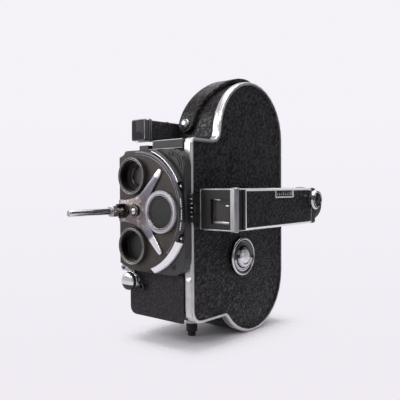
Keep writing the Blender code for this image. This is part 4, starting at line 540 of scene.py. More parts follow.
# %% Dress the solids
DRESS = {
    BODY_LEATHER: ["lid_leather"],
    SIDE_LEATHER: ["crank_side_leather"],
    CASE_LEATHER: ["case_leather"],
    FRONT_LEATHER: ["front_leather"],
    SCOPE_LEATHER: ["focuser_tube"],
    FINE_LEATHER: ["finder_leather"],
    STRAP_LEATHER: ["handle_strap"],
    TRIM: ["finder_housing"],
    BAND: ["lid_shell"],
    BEZEL: ["finder_bezel"],
    CHROME: ["finder_wheel", "focuser_collar", "release_button", "time_lever", "front_stud", "rear_stud",
             "turret_lever", "upper_guard", "lower_guard", "winding_crank", "speed_dial"],
    DISH: ["lock_ring", "lock_knob"],
    BROWNED: ["lever_fork", "hub_screw"],
    SATIN: ["turret_spider", "tripod_boss"],
    RING_SATIN: ["taking_port_ring"],
    STEEL: ["upper_sprocket", "lower_sprocket", "film_gate", "pressure_plate"],
    BRASS: ["mainspring_barrel", "idler_gear"],
    CRACKLE: ["film_chamber_case"],
    STRIP: ["top_strip_leather"],
    HEAD: ["focuser_head"],
    ENAMEL: ["motor_case", "focuser_rail", "focuser_window", "cable_socket", "finder_rear_block",
             "finder_leaf", "hinge_block", "finder_rest", "shutter", "feed_spool", "takeup_spool"],
    MATT: ["finder_mask"],
    PLATE: ["front_plate"],
    BRONZE: ["turret_disc", "upper_port_ring", "lower_port_ring"],
    PLUG: ["port_plug"],
    RUBBER: ["front_foot", "motor_foot", "crank_grip", "finder_eyepiece", "focuser_eyepiece"],
    PANE: ["finder_pane"],
}
for material, names in DRESS.items():
    for name in names:
        for holder in NODES[name].material_slots:
            holder.material = material
missed = sorted(set(NODES) - {name for names in DRESS.values() for name in names})
print("dressed", sum(len(names) for names in DRESS.values()), "nodes; missed:", missed)

# %% [markdown]
# ## From rings to pieces
# The small pieces are turned, swept or cut from plate, and each of these is a row of rings of points with
# faces between them. Primitives and modifiers could make some of them, but rings put every bevel and edge
# where the drawing has it. A shape is a list of such rows, so shapes can be added together, and `piece`
# builds them into one object, dresses it and lets it ride on a body of the frame.

# %% From rings to pieces
MADE = []


def add_loft(bm, rings, joined):
    """Faces between rings of points; joined closes the last ring to the first, else the ends are capped."""
    rows = [[bm.verts.new(point) for point in ring] for ring in rings]
    count = len(rows[0])
    for low, high in zip(rows, rows[1:] + (rows[:1] if joined else [])):
        for index in range(count):
            after = (index + 1) % count
            bm.faces.new((low[index], low[after], high[after], high[index]))
    if not joined:
        bm.faces.new(rows[0])
        bm.faces.new(rows[-1])


def piece(name, shapes, material, body, sharp=38.0):
    """An object from shapes, riding on a body; edges over sharp degrees stay crisp."""
    bm = bmesh.new()
    for rings, joined in shapes:
        add_loft(bm, rings, joined)
    bmesh.ops.recalc_face_normals(bm, faces=bm.faces)
    mesh = bpy.data.meshes.new(name)
    bm.to_mesh(mesh)
    bm.free()
    mesh.materials.append(material)
    mesh.shade_smooth()
    mesh.set_sharp_from_angle(angle=math.radians(sharp))
    thing = bpy.data.objects.new(name, mesh)
    bpy.context.scene.collection.objects.link(thing)
    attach(thing, body)
    MADE.append(name)
    return thing


def tell(title):
    """Print the pieces made since the last call."""
    print(title + ":", ", ".join(MADE))
    MADE.clear()


print("ring tools ready")

# %% [markdown]
# ## Outline of the spring plate
# The turret is held by a stamped plate with two tapered arms and a square tail, all its corners soft. Its
# outline could be traced with dozens of points. A few points and two rounds of cutting off corners give
# the same soft curve, and the drawing stays short enough to change by hand.

# %% Outline of the spring plate
HUB = (-13.5, 107.1)
ARM_ANGLES, ARM_TIP = (-50, 50), 42.0
ARM_SIDE = [(10.1, 5.9), (21.8, 3.8), (41.6, 2.3)]  # reach and half width
TAIL = [(-24.4, 115.9), (-31.0, 116.3), (-33.4, 116.3), (-33.4, 113.0), (-33.4, 101.2), (-33.4, 97.9),
        (-31.0, 97.9), (-24.4, 98.3)]


def around_hub(angle, radius, aside=0.0):
    """A point (x, z) at an angle and radius from the hub, moved sideways."""
    turn = math.radians(angle)
    return (HUB[0] + radius * math.cos(turn) - aside * math.sin(turn),
            HUB[1] + radius * math.sin(turn) + aside * math.cos(turn))


def smooth_outline(points, rounds):
    """Cut an outline's corners a few times."""
    for _ in range(rounds):
        cut = []
        for (u0, v0), (u1, v1) in zip(points, points[1:] + points[:1]):
            cut.append((u0 * 0.75 + u1 * 0.25, v0 * 0.75 + v1 * 0.25))
            cut.append((u0 * 0.25 + u1 * 0.75, v0 * 0.25 + v1 * 0.75))
        points = cut
    return points


def spider_outline():
    """Two tapered arms and a square tail, anticlockwise."""
    points = []
    for angle in ARM_ANGLES:
        points += [around_hub(angle, reach, -half) for reach, half in ARM_SIDE]
        points.append(around_hub(angle, ARM_TIP))
        points += [around_hub(angle, reach, half) for reach, half in reversed(ARM_SIDE)]
    return smooth_outline(points + TAIL, 2)


print("spring plate's outline:", len(spider_outline()), "points")

# %% [markdown]
# ## Spring plate
# Stamping leaves a plate flat underneath and rounds the edge of its face. A flat mesh with a Bevel
# modifier could stand for it. `slab` raises the outline in four rings instead, the last two drawn in,
# which puts the bevel on the upper edge only. The same tool cuts every flat piece that follows.

# %% Spring plate
SPIDER_BACK, SPIDER_FACE, SPIDER_BEVEL = -11.35, -12.9, 0.55


def inset(outline, distance):
    """An outline drawn in by a distance; it runs anticlockwise or clockwise."""
    area = sum(a[0] * b[1] - b[0] * a[1] for a, b in zip(outline, outline[1:] + outline[:1]))
    way = 1.0 if area > 0 else -1.0
    drawn = []
    for index, point in enumerate(outline):
        here = Vector(point)
        back = (here - Vector(outline[index - 1])).normalized()
        ahead = (Vector(outline[(index + 1) % len(outline)]) - here).normalized()
        across = (Vector((-back.y, back.x)) + Vector((-ahead.y, ahead.x))).normalized()
        reach = distance / max(across.dot(Vector((-back.y, back.x))), 0.35)
        drawn.append(tuple(here + across * reach * way))
    return drawn


def spot(axis, u, v, along):
    """A point from two coordinates across an axis and one along it."""
    return {"x": at(along, u, v), "y": at(u, along, v), "z": at(u, v, along)}[axis]


def slab(axis, outline, base, top, bevel):
    """A plate from an outline, with its top edge bevelled in two steps."""
    way = 1.0 if top > base else -1.0
    levels = [(0.0, base), (0.0, top - way * bevel), (bevel * 0.3, top - way * bevel * 0.3), (bevel, top)]
    return [([[spot(axis, u, v, along) for u, v in inset(outline, draw)] for draw, along in levels], False)]


plate = slab("y", spider_outline(), SPIDER_BACK, SPIDER_FACE, SPIDER_BEVEL)
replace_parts(piece("spider_plate", plate, SPIDER, "turret", sharp=60.0), "turret_spider")
tell("spring plate")

# %% [markdown]
# ## Hub
# A washer and a domed screw head sit on the plate at the turret's centre. Both are round, so they are
# turned: a profile of radius and height is spun about an axis. A torus primitive could make the washer,
# but the same lathe serves every round piece that follows, from the lens threads to the knurled wheels.

# %% Hub


def polar(centre, radius, turn):
    """A point at a turn, in radians, round a centre."""
    return centre[0] + radius * math.cos(turn), centre[1] + radius * math.sin(turn)


def lathe(axis, centre, profile, sides=48, loop=False, notch=0.0):
    """Turn a profile of (radius, along); notch cuts into every second point of the inner rings."""
    rings = []
    for index, (radius, along) in enumerate(profile):
        cut = notch * (0 < index < len(profile) - 1)
        rings.append([spot(axis, *polar(centre, radius - cut * (step % 2), 2 * math.pi * step / sides), along)
                      for step in range(sides)])
    return [(rings, loop)]


def bead(radius, along, size, points=8):
    """A small round section for a lathe or a sector."""
    return [polar((radius, along), size, 2 * math.pi * index / points) for index in range(points)]


def hoop(axis, centre, radius, along, size, sides):
    """A round wire bent into a ring."""
    return lathe(axis, centre, bead(radius, along, size), sides, loop=True)


washer = hoop("y", HUB, 6.4, -12.95, 0.5, 40) + hoop("y", HUB, 4.1, -15.2, 0.22, 40)
piece("hub_washer", washer, SATIN, "turret")
dome = [(2.6, -15.2), (2.5, -15.8), (1.9, -16.3), (1.0, -16.55), (0.2, -16.6)]
piece("hub_dome", lathe("y", HUB, dome, 32), CHROME, "turret", sharp=50.0)
tell("hub")

# %% [markdown]
# ## Open ports
# Two of the three lens ports are empty. Light catches a worn lip round each, and inside is the thread
# that a lens screws into. A true thread is a helix, which a Screw modifier could make. Stacked rings look
# the same down a dark bore, and they come off the same lathe.

# %% Open ports
PORTS = {"upper": (-17.01, 134.88), "lower": (-17.01, 79.32), "taking": (14.5, 107.1)}
THREAD_START, THREAD_PITCH, THREAD_TURNS = -13.6, 1.0, 6
THREAD_ROOT, THREAD_CREST, THREAD_WALL = 12.68, 12.05, 12.69


def thread_profile():
    """A tooth for each turn of the thread, closed along the bore's wall."""
    profile = []
    for turn in range(THREAD_TURNS):
        start = THREAD_START + THREAD_PITCH * turn
        profile += [(THREAD_ROOT, start), (THREAD_CREST, start + 0.3), (THREAD_CREST, start + 0.6)]
    return profile + [(THREAD_WALL, profile[-1][1]), (THREAD_WALL, THREAD_START)]


for name in ("upper", "lower"):
    lips = hoop("y", PORTS[name], 14.2, -14.86, 0.34, 96) + hoop("y", PORTS[name], 13.0, -14.92, 0.24, 96)
    piece("port_lip_" + name, lips, LIP, "turret")
    thread = lathe("y", PORTS[name], thread_profile(), 56, loop=True)
    piece("port_thread_" + name, thread, BORE, "turret")
tell("open ports")

# %% [markdown]
# ## Turret rim
# The disc has a smooth dark rim with a fine line inside it. Both run through only part of a circle, and a
# lathe would make the whole of it, to be cut back afterwards. `sector` sweeps a section through part of a
# turn and caps its ends.

# %% Turret rim
RIM_START, RIM_END, RIM_STEPS = -44, 92, 72
RIM_SECTION = [(44.5, -10.95), (44.8, -11.25), (46.3, -11.38), (47.4, -11.2), (48.0, -10.7), (48.16, -9.9),
               (48.16, -7.5), (44.5, -7.5)]


def sector(axis, centre, section, start, end, steps):
    """Sweep a closed section of (radius, along) through part of a turn, in degrees."""
    turns = [math.radians(start + (end - start) * step / steps) for step in range(steps + 1)]
    rings = [[spot(axis, *polar(centre, radius, turn), along) for radius, along in section] for turn in turns]
    return [(rings, False)]


rim = sector("y", HUB, RIM_SECTION, RIM_START, RIM_END, RIM_STEPS)
piece("turret_rim", rim, RIM, "turret", sharp=50.0)
line = sector("y", HUB, bead(44.5, -11.2, 0.26), RIM_START, RIM_END, RIM_STEPS)
piece("turret_line", line, LIP, "turret", sharp=50.0)
tell("turret rim")

# %% [markdown]
# ## Rim teeth
# By the film door the rim has teeth for the finger that turns the turret, and along them its edge is partly
# rubbed bright and partly a painted highlight. This could be a mask in the material. It is a low bead of
# near white metal here, which also catches the light.
# Each tooth is a small plate, every third one a little prouder, which keeps the row from looking too
# even.

# %% Rim teeth
TOOTH_STEP, TOOTH_BASE, TOOTH_TOP = 2.2, -7.6, -11.3
WORN_AND_LIT_ARCS = ((-16.0, -8.5), (-6.5, 3.0), (5.0, 13.0))


def rim_block(angle, half, low, high):
    """Four corners of a block that stands on the turret's rim, half its angle to each side."""
    sides = ((-half, low), (-half, high), (half, high), (half, low))
    return [around_hub(angle + side, reach) for side, reach in sides]


teeth = []
for step in range(-12, 7):
    proud = 0.2 * (step % 3 == 0)
    teeth += slab("y", rim_block(step * TOOTH_STEP, 0.5, 47.3, 48.32), TOOTH_BASE, TOOTH_TOP - proud, 0.3)
piece("turret_serration", teeth, DARK_STEEL, "turret")
# Near white beads along parts of the rim: rubbed metal and a painted highlight.
worn = []
for start, end in WORN_AND_LIT_ARCS:
    worn += sector("y", HUB, bead(47.55, -11.2, 0.32), start, end, 12)
piece("rim_wear_and_highlight", worn, BRIGHT, "turret", sharp=60.0)
tell("rim teeth")

# %% [markdown]
# ## Taking port
# The third port is closed by a plug in a satin ring, and both are solids of the frame. Left flat they
# would mirror one even tone. Two rolled edges and a slightly dished face are laid on them, which is less
# work than replacing them and gives the rounded highlights of turned parts.

# %% Taking port
beads = hoop("y", PORTS["taking"], 12.75, -14.42, 0.3, 64)
beads += hoop("y", PORTS["taking"], 15.85, -14.15, 0.42, 64)
piece("taking_ring_beads", beads, RING_SATIN, "turret")
face = [(10.2, -13.2), (10.1, -13.42), (9.0, -13.5), (5.0, -13.42), (0.4, -13.36)]
piece("plug_face", lathe("y", PORTS["taking"], face), PLUG, "turret")
tell("taking port")

# %% [markdown]
# ## Round bars
# Wires, pins and rubbed edges on this camera are round bars, some bent and some closed into rings. A
# curve object with a bevel could make them. `tube` sweeps a circle along a path of points instead, so
# that a bar is a mesh like every other piece. It carries each circle's direction on to the next, so that
# no bar twists.

# %% Round bars


def tube(path, radius, sides=8, closed=False):
    """A round bar along a path of body points."""
    points = [Vector(point) for point in path]
    turns = [2 * math.pi * step / sides for step in range(sides)]
    rings, normal = [], None
    for index, point in enumerate(points):
        before = points[index - 1] if index or closed else point
        after = points[(index + 1) % len(points)] if closed or index < len(points) - 1 else point
        tangent = (after - before).normalized()
        normal = normal or tangent.orthogonal()
        normal = (normal - tangent * normal.dot(tangent)).normalized()
        side = tangent.cross(normal)
        ways = [normal * math.cos(turn) + side * math.sin(turn) for turn in turns]
        rings.append([at(*(point + way * radius)) for way in ways])
    return [(rings, closed)]


def circle(middle, first, second, radius, steps):
    """Points of a circle in the plane of two directions."""
    turns = [2 * math.pi * step / steps for step in range(steps)]
    return [middle + (first * math.cos(turn) + second * math.sin(turn)) * radius for turn in turns]


print("round bars ready")

# %% [markdown]
# ## Folding lever
# A rod folds out of a fork to turn the turret. The pin in the fork shows a stepped head on both sides,
# which could be a small sphere. Two wires closed into rings give it its step. The nut, the neck and the
# rod come off the lathe, the nut with only six sides, so that its flats are true.

# %% Folding lever
LEVER = (-25.5, 107.1)
PIN_Y, PIN_LEAN = -18.7, math.radians(34.5)
PIN_HEADS = ((5.3, 1.7), (5.75, 1.2))  # distance from the middle, size

nut = [(3.6, -22.4), (4.75, -23.1), (4.75, -26.9), (3.6, -27.7)]
neck = [(3.3, -27.4), (4.0, -27.8), (4.0, -28.6), (3.3, -29.0)]
rod = [(2.0, -28.4), (2.62, -28.9), (2.58, -34.0), (2.58, -60.0), (2.62, -66.4), (2.5, -67.2), (2.1, -67.65)]
collar = lathe("y", LEVER, nut, 6) + lathe("y", LEVER, neck, 32)
piece("lever_collar", collar, SATIN, "turret_lever", sharp=20.0)
piece("lever_rod", lathe("y", LEVER, rod, 36), CHROME, "turret_lever")
across = Vector((-math.sin(PIN_LEAN), 0.0, math.cos(PIN_LEAN)))
ahead = across.orthogonal().normalized()
pins = []
for side in (-1, 1):
    for reach, size in PIN_HEADS:
        middle = Vector((LEVER[0], PIN_Y, LEVER[1])) + across * reach * side
        pins += tube(circle(middle, ahead, across.cross(ahead), size * 0.6, 20), size * 0.42, closed=True)
piece("lever_pins", pins, BROWNED, "turret")
tell("lever")

# %% [markdown]
# ## Plate screws
# The turret turns on a painted front plate, which dark slotted screws hold. A screw's slot could be cut
# with a boolean. Two half discs on a thin base leave the slot open between them, with clean edges and few
# faces.

# %% Plate screws
PLATE_FACE = -6.9
PLATE_SCREWS = (((19.8, 151.7), 70), ((21.6, 65.4), 15), ((-29.5, 63.5), 40))  # centre and slot angle


def screw(axis, centre, base, top, radius, angle):
    """A slotted head: a flat disc under two halves with the slot between them."""
    seat = base + (top - base) * 0.4
    head = lathe(axis, centre, [(radius, base), (radius, seat), (radius * 0.96, seat)], 24)
    gap = math.asin(0.2)
    for side in (0, 180):
        start = math.radians(angle + side) + gap
        half = [polar(centre, radius, start + (math.pi - 2 * gap) * step / 12) for step in range(13)]
        head += slab(axis, half, base, top, radius * 0.18)
    return head


screws = []
for centre, angle in PLATE_SCREWS:
    screws += screw("y", centre, PLATE_FACE, PLATE_FACE - 0.38, 2.6, angle)
piece("plate_screws", screws, DARK_STEEL, "camera")
tell("plate screws")

# %% [markdown]
# ## Plate ridges
# The plate's corner by the film door steps back in three ridges, and a rubbed bead finishes its top. The
# steps could be three plates laid on each other. At this size only their edges catch the light, so round
# bars bent round the corner stand for them.

# %% Plate ridges
RIDGE_SIDE, RIDGE_Y, RIDGE_CENTRE, RIDGE_RADIUS = 33.8, -6.95, (19.8, 141.6), 14.0
RIDGES = ((0.9, 128.0), (3.2, 139.0), (5.2, 144.0))  # step in from the edge, height of the foot

ridges = []
for draw, foot in RIDGES:
    side = RIDGE_SIDE - draw
    path = [(side, RIDGE_Y, foot), (side, RIDGE_Y, RIDGE_CENTRE[1])]
    for step in range(1, 9):
        x, z = polar(RIDGE_CENTRE, RIDGE_RADIUS - draw, math.radians(9.5 * step))
        path.append((x, RIDGE_Y, z))
    ridges += tube(path, 0.42)
piece("plate_ridges", ridges, DISH, "camera")
top_edge = tube([(-4.0, -6.7, 155.35), (12.0, -6.7, 155.35), (24.5, -6.7, 155.2)], 0.5)
piece("plate_top_bead", top_edge, EDGE_STEEL, "camera")
tell("plate ridges")

# %% [markdown]
# ## Guards
# Two curved bars stand beside the turret's rim, the upper one dark with a narrow bright edge and the
# lower one cut to a broad bright slope. The frame's solids are plain bars and could be dressed as they
# are. These pieces replace them, because the highlight of each comes from the bevels of its own section.

# %% Guards
GUARD_STEPS = 30
UPPER_GUARD = [(48.75, -7.4), (51.2, -7.4), (51.2, -10.7), (50.5, -11.6), (49.9, -11.6), (48.75, -10.8)]
LOWER_GUARD = [(48.75, -7.4), (51.2, -7.4), (51.2, -9.0), (50.6, -10.0), (47.2, -12.4), (46.9, -12.1),
               (48.75, -11.5)]

bar = sector("y", HUB, UPPER_GUARD, 27, 70, GUARD_STEPS)
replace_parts(piece("upper_guard_bar", bar, PLATE, "camera"), "upper_guard")
edge = sector("y", HUB, bead(49.45, -11.35, 0.52), 27, 70, GUARD_STEPS)
piece("upper_guard_edge", edge, BRIGHT, "camera", sharp=60.0)
bar = sector("y", HUB, LOWER_GUARD, -70, -27, GUARD_STEPS)
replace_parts(piece("lower_guard_bar", bar, BRIGHT, "camera"), "lower_guard")
tell("guards")

# %% [markdown]
# ## Guard stops
# A small stop with a pin stands at each guard's inner end. It could be part of the guard's section, but
# the sweep would carry it all along the bar. A small plate and a turned pin at two angles are enough.

# %% Guard stops
STOP_ANGLES = (-23.0, 23.0)
STOP_PIN = [(0.62, -9.6), (0.6, -10.2), (0.45, -10.4), (0.1, -10.45)]

stops, pins = [], []
for angle in STOP_ANGLES:
    stops += slab("y", rim_block(angle, 2.2, 48.9, 50.6), PLATE_FACE, -9.8, 0.3)
    pins += lathe("y", around_hub(angle, 49.75), STOP_PIN, 20)
piece("guard_stops", stops, DARK_STEEL, "camera")
piece("stop_pins", pins, BRIGHT, "camera", sharp=50.0)
tell("guard stops")

# %% [markdown]
# ## Behind the ports
# Through the upper port one looks at the focuser's lens, and through the lower one at a blank part of the
# plate. The bores could be left empty, but paint lit from the front would show at their bottom. A ring
# with a dark lens is set in one, and a matt black disc in the other as painted shade at the bore's bottom.

# %% Behind the ports
ring = [(8.8, -4.8), (8.8, -6.3), (8.2, -6.7), (7.2, -6.2), (6.6, -5.0)]
piece("focus_ring", lathe("y", PORTS["upper"], ring), DARK_STEEL, "camera")
glass = [(6.9, -4.6), (6.0, -4.5), (4.5, -4.4), (2.4, -4.3), (0.3, -4.25)]
piece("focus_lens", lathe("y", PORTS["upper"], glass, 40), LENS, "camera")
# A matt black disc behind the lower port: painted shade at the bottom of the bore.
disc = [(11.9, -6.95), (11.8, -7.12), (6.0, -7.16), (0.3, -7.18)]
piece("port_shade_disc", lathe("y", PORTS["lower"], disc), MATT, "camera")
tell("behind the ports")

# %% [markdown]
# ## Hump panel
# The film chamber's upper hump stands above the motor case, and its side is covered like the rest of the
# winding side. The photograph doesn't show that side, so this panel and the later pieces there are what a
# camera of this kind would have. A material could leave a border on the solid itself. A thin panel with a
# bevelled edge is as easy, and shows that leather is a sheet glued on.

# %% Hump panel
HUMP, HUMP_RADIUS = (81.8, 168.3), 47.7
PANEL_RADIUS, PANEL_FOOT = 44.6, 160.0

arch = [polar(HUMP, PANEL_RADIUS, math.pi * step / 48) for step in range(49)]
outline = [(HUMP[0] + PANEL_RADIUS, PANEL_FOOT), *arch, (HUMP[0] - PANEL_RADIUS, PANEL_FOOT)]
piece("hump_panel", slab("x", outline, -8.95, -9.6, 0.3), SIDE_LEATHER, "camera")
tell("hump")

# %% [markdown]
# ## Route of the strap
# The carrying strap goes from stud to stud over the hump and leans over to the film door on the way. Its
# route could be a curve drawn by hand. It is worked out from the hump's own circle instead, with a sway
# that is nothing at the ends and greatest on top, so that the strap follows the body all along.

# %% Route of the strap
STRAP_SWAY, STRAP_END = 15.6, 176.0


def strap_middle(angle):
    """0 at the strap's ends and 1 on top of the hump."""
    return math.sin(math.pi * (STRAP_END - angle) / (2 * STRAP_END - 180)) ** 2


def strap_point(angle, height, aside):
    """A point over the hump: angle round it, height above the strap's inner face, and across it."""
    reach = HUMP_RADIUS + 1.0 + 0.7 * strap_middle(angle) + height
    return Vector((aside + STRAP_SWAY * strap_middle(angle), *polar(HUMP, reach, math.radians(angle))))


print("strap's top, mm:", [round(length, 1) for length in strap_point(90.0, 0.0, 0.0)])

# %% [markdown]
# ## Carrying strap
# The strap is one band of thick leather, round at its ends and edges. Cloth simulation is for loose
# fabric, and this band is stiff. So its rounded section is swept along the route, widened towards the
# middle and narrowed in a half circle at each end.

# %% Carrying strap
STRAP_STEPS, STRAP_REACH = 96, STRAP_END - 90.0
STRAP_HALF, STRAP_WIDENING, STRAP_TOP = 8.3, 1.7, 2.6
STRAP_EDGE = [(0.95, 0.0), (0.985, 0.12), (1.0, 0.45), (0.985, 0.76), (0.94, 0.96), (0.88, 1.0), (0.6, 0.98),
              (0.3, 0.97)]  # shares of the half width and the thickness


def strap_section(half, low):
    """Across and up: a flat band with round edges, a little thinner along its middle."""
    thick = STRAP_TOP - low
    right = [(share * half, low + rise * thick) for share, rise in STRAP_EDGE]
    return right + [(0.0, low + 0.97 * thick)] + [(-u, v) for u, v in reversed(right)] + [(0.0, low)]


rings = []
for step in range(STRAP_STEPS + 1):
    share = -math.cos(math.pi * step / STRAP_STEPS)
    angle = 90 - share * STRAP_REACH
    from_end = HUMP_RADIUS * math.radians(STRAP_REACH) * (1 - abs(share)) + 0.25
    half = STRAP_HALF + STRAP_WIDENING * strap_middle(angle)
    if from_end < half:
        half = math.sqrt(half ** 2 - (half - from_end) ** 2)
    low = -0.65 - 0.7 * strap_middle(angle)
    rings.append([at(*strap_point(angle, v, u)) for u, v in strap_section(half, low)])
strap = piece("strap_band", [(rings, False)], STRAP_LEATHER, "camera", sharp=75.0)
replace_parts(strap, "handle_strap")
tell("strap")

# %% [markdown]
# ## Stud washers
# A dark washer lies under each stud's dome, flat on the strap. A torus primitive would have to be turned
# to the strap's slope. A circle drawn in the slope's own two directions lies right from the start.

# %% Stud washers
STUD_ANGLES = (168, 12)

washers = []
for angle in STUD_ANGLES:
    turn = math.radians(angle)
    centre = strap_point(angle, 2.72, 0.0)
    centre.x = 0.0
    along = Vector((0.0, -math.sin(turn), math.cos(turn)))
    washers += tube(circle(centre, Vector((1, 0, 0)), along, 4.7, 28), 0.45, closed=True)
piece("stud_washers", washers, DARK_STEEL, "camera")
tell("stud washers")

# %% [markdown]
# ## Release
# The release is a domed cap on a milled skirt that slides in a bright collar. The milling could be a
# bump. It is cut into the rings, every second point a little lower, so that it also shows along the edge.

# %% Release
RELEASE = (-27.0, 49.5)

cap = [(6.7, -9.5), (7.0, -9.9), (6.8, -10.4), (5.9, -10.75), (3.6, -11.1), (0.3, -11.2)]
cap = lathe("y", RELEASE, cap, 56) + hoop("y", RELEASE, 7.35, -6.6, 0.4, 56)
piece("release_cap", cap, CAP, "release_button", sharp=50.0)
skirt = lathe("y", RELEASE, [(6.8, -6.9), (7.3, -7.1), (7.3, -9.3), (6.8, -9.6)], 72, notch=0.28)
piece("release_skirt", skirt, ENAMEL, "release_button", sharp=20.0)
collar = [(4.6, -0.8), (6.4, -0.8), (6.4, -2.4), (6.1, -2.9), (5.5, -3.0), (5.1, -2.6), (4.6, -2.5)]
piece("release_collar", lathe("y", RELEASE, collar, 56, loop=True), CHROME, "camera")
tell("release")

# %% [markdown]
# ## Socket and time lever
# Beside the release are the cable socket and the small lever that holds the shutter open. Grooves and
# holes could be cut into their solids. Two rings and two slotted rivets are laid on instead, and the
# rivets ride on the lever's own body, so that they turn with it.

# %% Socket and time lever
SOCKET, TIME_LEVER_FACE = (-16.8, 45.2), -2.5

rings = hoop("y", SOCKET, 2.75, -4.4, 0.30, 36) + hoop("y", SOCKET, 3.3, -1.3, 0.40, 36)
piece("socket_rings", rings, DARK_STEEL, "camera")
rivets = screw("y", (-29.5, 55.6), TIME_LEVER_FACE, -3.1, 1.7, 25)
rivets += screw("y", (-39.4, 58.6), TIME_LEVER_FACE, -3.0, 1.1, 80)
piece("time_lever_rivets", rivets, DARK_STEEL, "time_lever")
tell("socket and time lever")

# %% [markdown]
# ## Focuser front
# The square tube on top of the body is an eye-level focuser, with a smoked pane in a thin frame and a
# collar behind it. Their edges could be bevelled on the solids, but those stay as they are. Thin wires
# are laid along the edges instead, because a worn edge catches the light in a line.

# %% Focuser front


def rounded(low, high, radius, steps=5):
    """A rectangle with round corners."""
    points = []
    corners = ((low[0] + radius, low[1] + radius, 180), (high[0] - radius, low[1] + radius, 270),
               (high[0] - radius, high[1] - radius, 0), (low[0] + radius, high[1] - radius, 90))
    for u, v, start in corners:
        turns = [math.radians(start + 90 * step / steps) for step in range(steps + 1)]
        points += [polar((u, v), radius, turn) for turn in turns]
    return points


def frame_path(low, high, radius, along):
    """Round-cornered path in a plane across the body's length."""
    return [(u, along, v) for u, v in rounded(low, high, radius, 4)]


frame_wire = tube(frame_path((-29.75, 164.25), (-14.95, 181.05), 1.2, -0.95), 0.34, closed=True)
piece("focuser_frame", frame_wire, EDGE_STEEL, "camera")
lips = []
for along in (3.45, 6.15):
    lips += tube(frame_path((-30.55, 163.45), (-14.15, 181.85), 1.6, along), 0.32, closed=True)
piece("focuser_collar_lips", lips, RING_SATIN, "camera")
pane = slab("y", rounded((-29.2, 164.8), (-15.5, 180.5), 0.9), -0.95, -1.15, 0.06)
piece("focuser_glass", pane, SMOKE, "camera")
tell("focuser front")

# %% [markdown]
# ## Focuser tube
# The photograph doesn't show the far end of the tube. It is given a ribbed rubber eyepiece, and four
# small screws for its roof. The ribs could belong to one turned profile. As separate wires they need only
# a place each.

# %% Focuser tube
SCOPE_AXIS, SCOPE_ROOF = (-22.35, 172.65), 181.2
SCOPE_SCREWS = ((-3.0, -257.4), (3.0, -144.9))  # distance from the middle, slot angle

ribs = []
for along in (115.0, 117.0, 119.0, 121.0, 126.6):
    ribs += hoop("y", SCOPE_AXIS, 7.95, along, 0.42, 40)
piece("focuser_ribs", ribs, RUBBER, "camera")
screws = []
for aside, angle in SCOPE_SCREWS:
    for y in (30.0, 85.0):
        screws += screw("z", (SCOPE_AXIS[0] + aside, y), SCOPE_ROOF, SCOPE_ROOF + 0.55, 1.3, angle)
piece("focuser_screws", screws, DARK_STEEL, "camera")
tell("focuser tube")

# %% [markdown]
# ## Top strip
# A painted strip closes the top of the body beside the focuser, and its front edges are rubbed bare. A
# mask could show metal there. Wires laid along the edges need no mask, and one follows the strip's cut
# corner.

# %% Top strip
STRIP_EDGE = [(-5.6, -0.75, 156.2), (-5.6, -0.75, 160.5), (-4.4, -0.75, 162.2), (-2.8, -0.75, 162.6),
              (26.0, -0.75, 162.6)]

edges = tube(STRIP_EDGE, 0.40) + tube([(-5.6, -0.75, 156.1), (26.0, -0.75, 156.1)], 0.3)
piece("top_strip_edges", edges, RING_SATIN, "camera")
tell("top strip")

# %% [markdown]
# ## Side finder body
# The finder on the film door is a square tube with leather on its sides, a bright edge round its front,
# and a dark band behind the bezel. The leather above, below and at the rear could be cut into the tube
# like the frame's own panel. Thin slabs laid on the tube look the same and leave the solid as it is.

# %% Side finder body
FINDER_SIDE = 73.3

edge = tube(frame_path((39.5, 94.2), (68.2, 124.3), 1.0, 3.8), 0.28, closed=True)
piece("finder_edge", edge, CHROME, "finder")
panels = slab("z", rounded((41.2, 14.0), (71.3, 111.2), 1.2), 124.65, 124.76, 0.04)
panels += slab("z", rounded((41.2, 14.0), (71.3, 111.2), 1.2), 93.85, 93.74, 0.04)
panels += slab("x", rounded((107.2, 96.0), (112.5, 122.5), 0.4), FINDER_SIDE, 73.52, 0.05)
piece("finder_panels", panels, FINE_LEATHER, "finder")
band = slab("x", rounded((11.9, 94.6), (14.3, 123.9), 0.3, 2), FINDER_SIDE, 73.55, 0.06)
band += slab("y", rounded((72.3, 94.6), (73.5, 123.9), 0.3, 2), 12.1, 11.85, 0.06)
piece("finder_band", band, MATT, "finder")
line = slab("x", rounded((14.3, 94.6), (15.3, 123.9), 0.2, 2), FINDER_SIDE, 73.6, 0.08)
piece("finder_band_line", line, TRIM, "finder")
tell("finder body")

# %% [markdown]
# ## Finder window and scale
# The window is framed by a thin edge and shows fine bright framing marks, and a small opening in the side
# shows a scale. Marks could be drawn by a texture. As small raised slabs they stay sharp at any distance,
# and plain ticks of two heights are enough to read as a scale.

# %% Finder window and scale
FRAMING_MARKS = (((49.3, 116.0), (55.0, 116.8)), ((60.0, 111.6), (65.4, 112.4)),
                 ((49.0, 98.8), (65.4, 100.2)))  # low and high corner


def scale_marks(count, start, pitch, foot, every, heights, base, top, bevel):
    """Upright ticks along a scale on a side face, the first of every few taller than the rest."""
    marks = []
    for step in range(count):
        left, tall = start + pitch * step, heights[0] if step % every == 0 else heights[1]
        marks += slab("x", rounded((left, foot), (left + 0.4, foot + tall), 0.1, 2), base, top, bevel)
    return marks


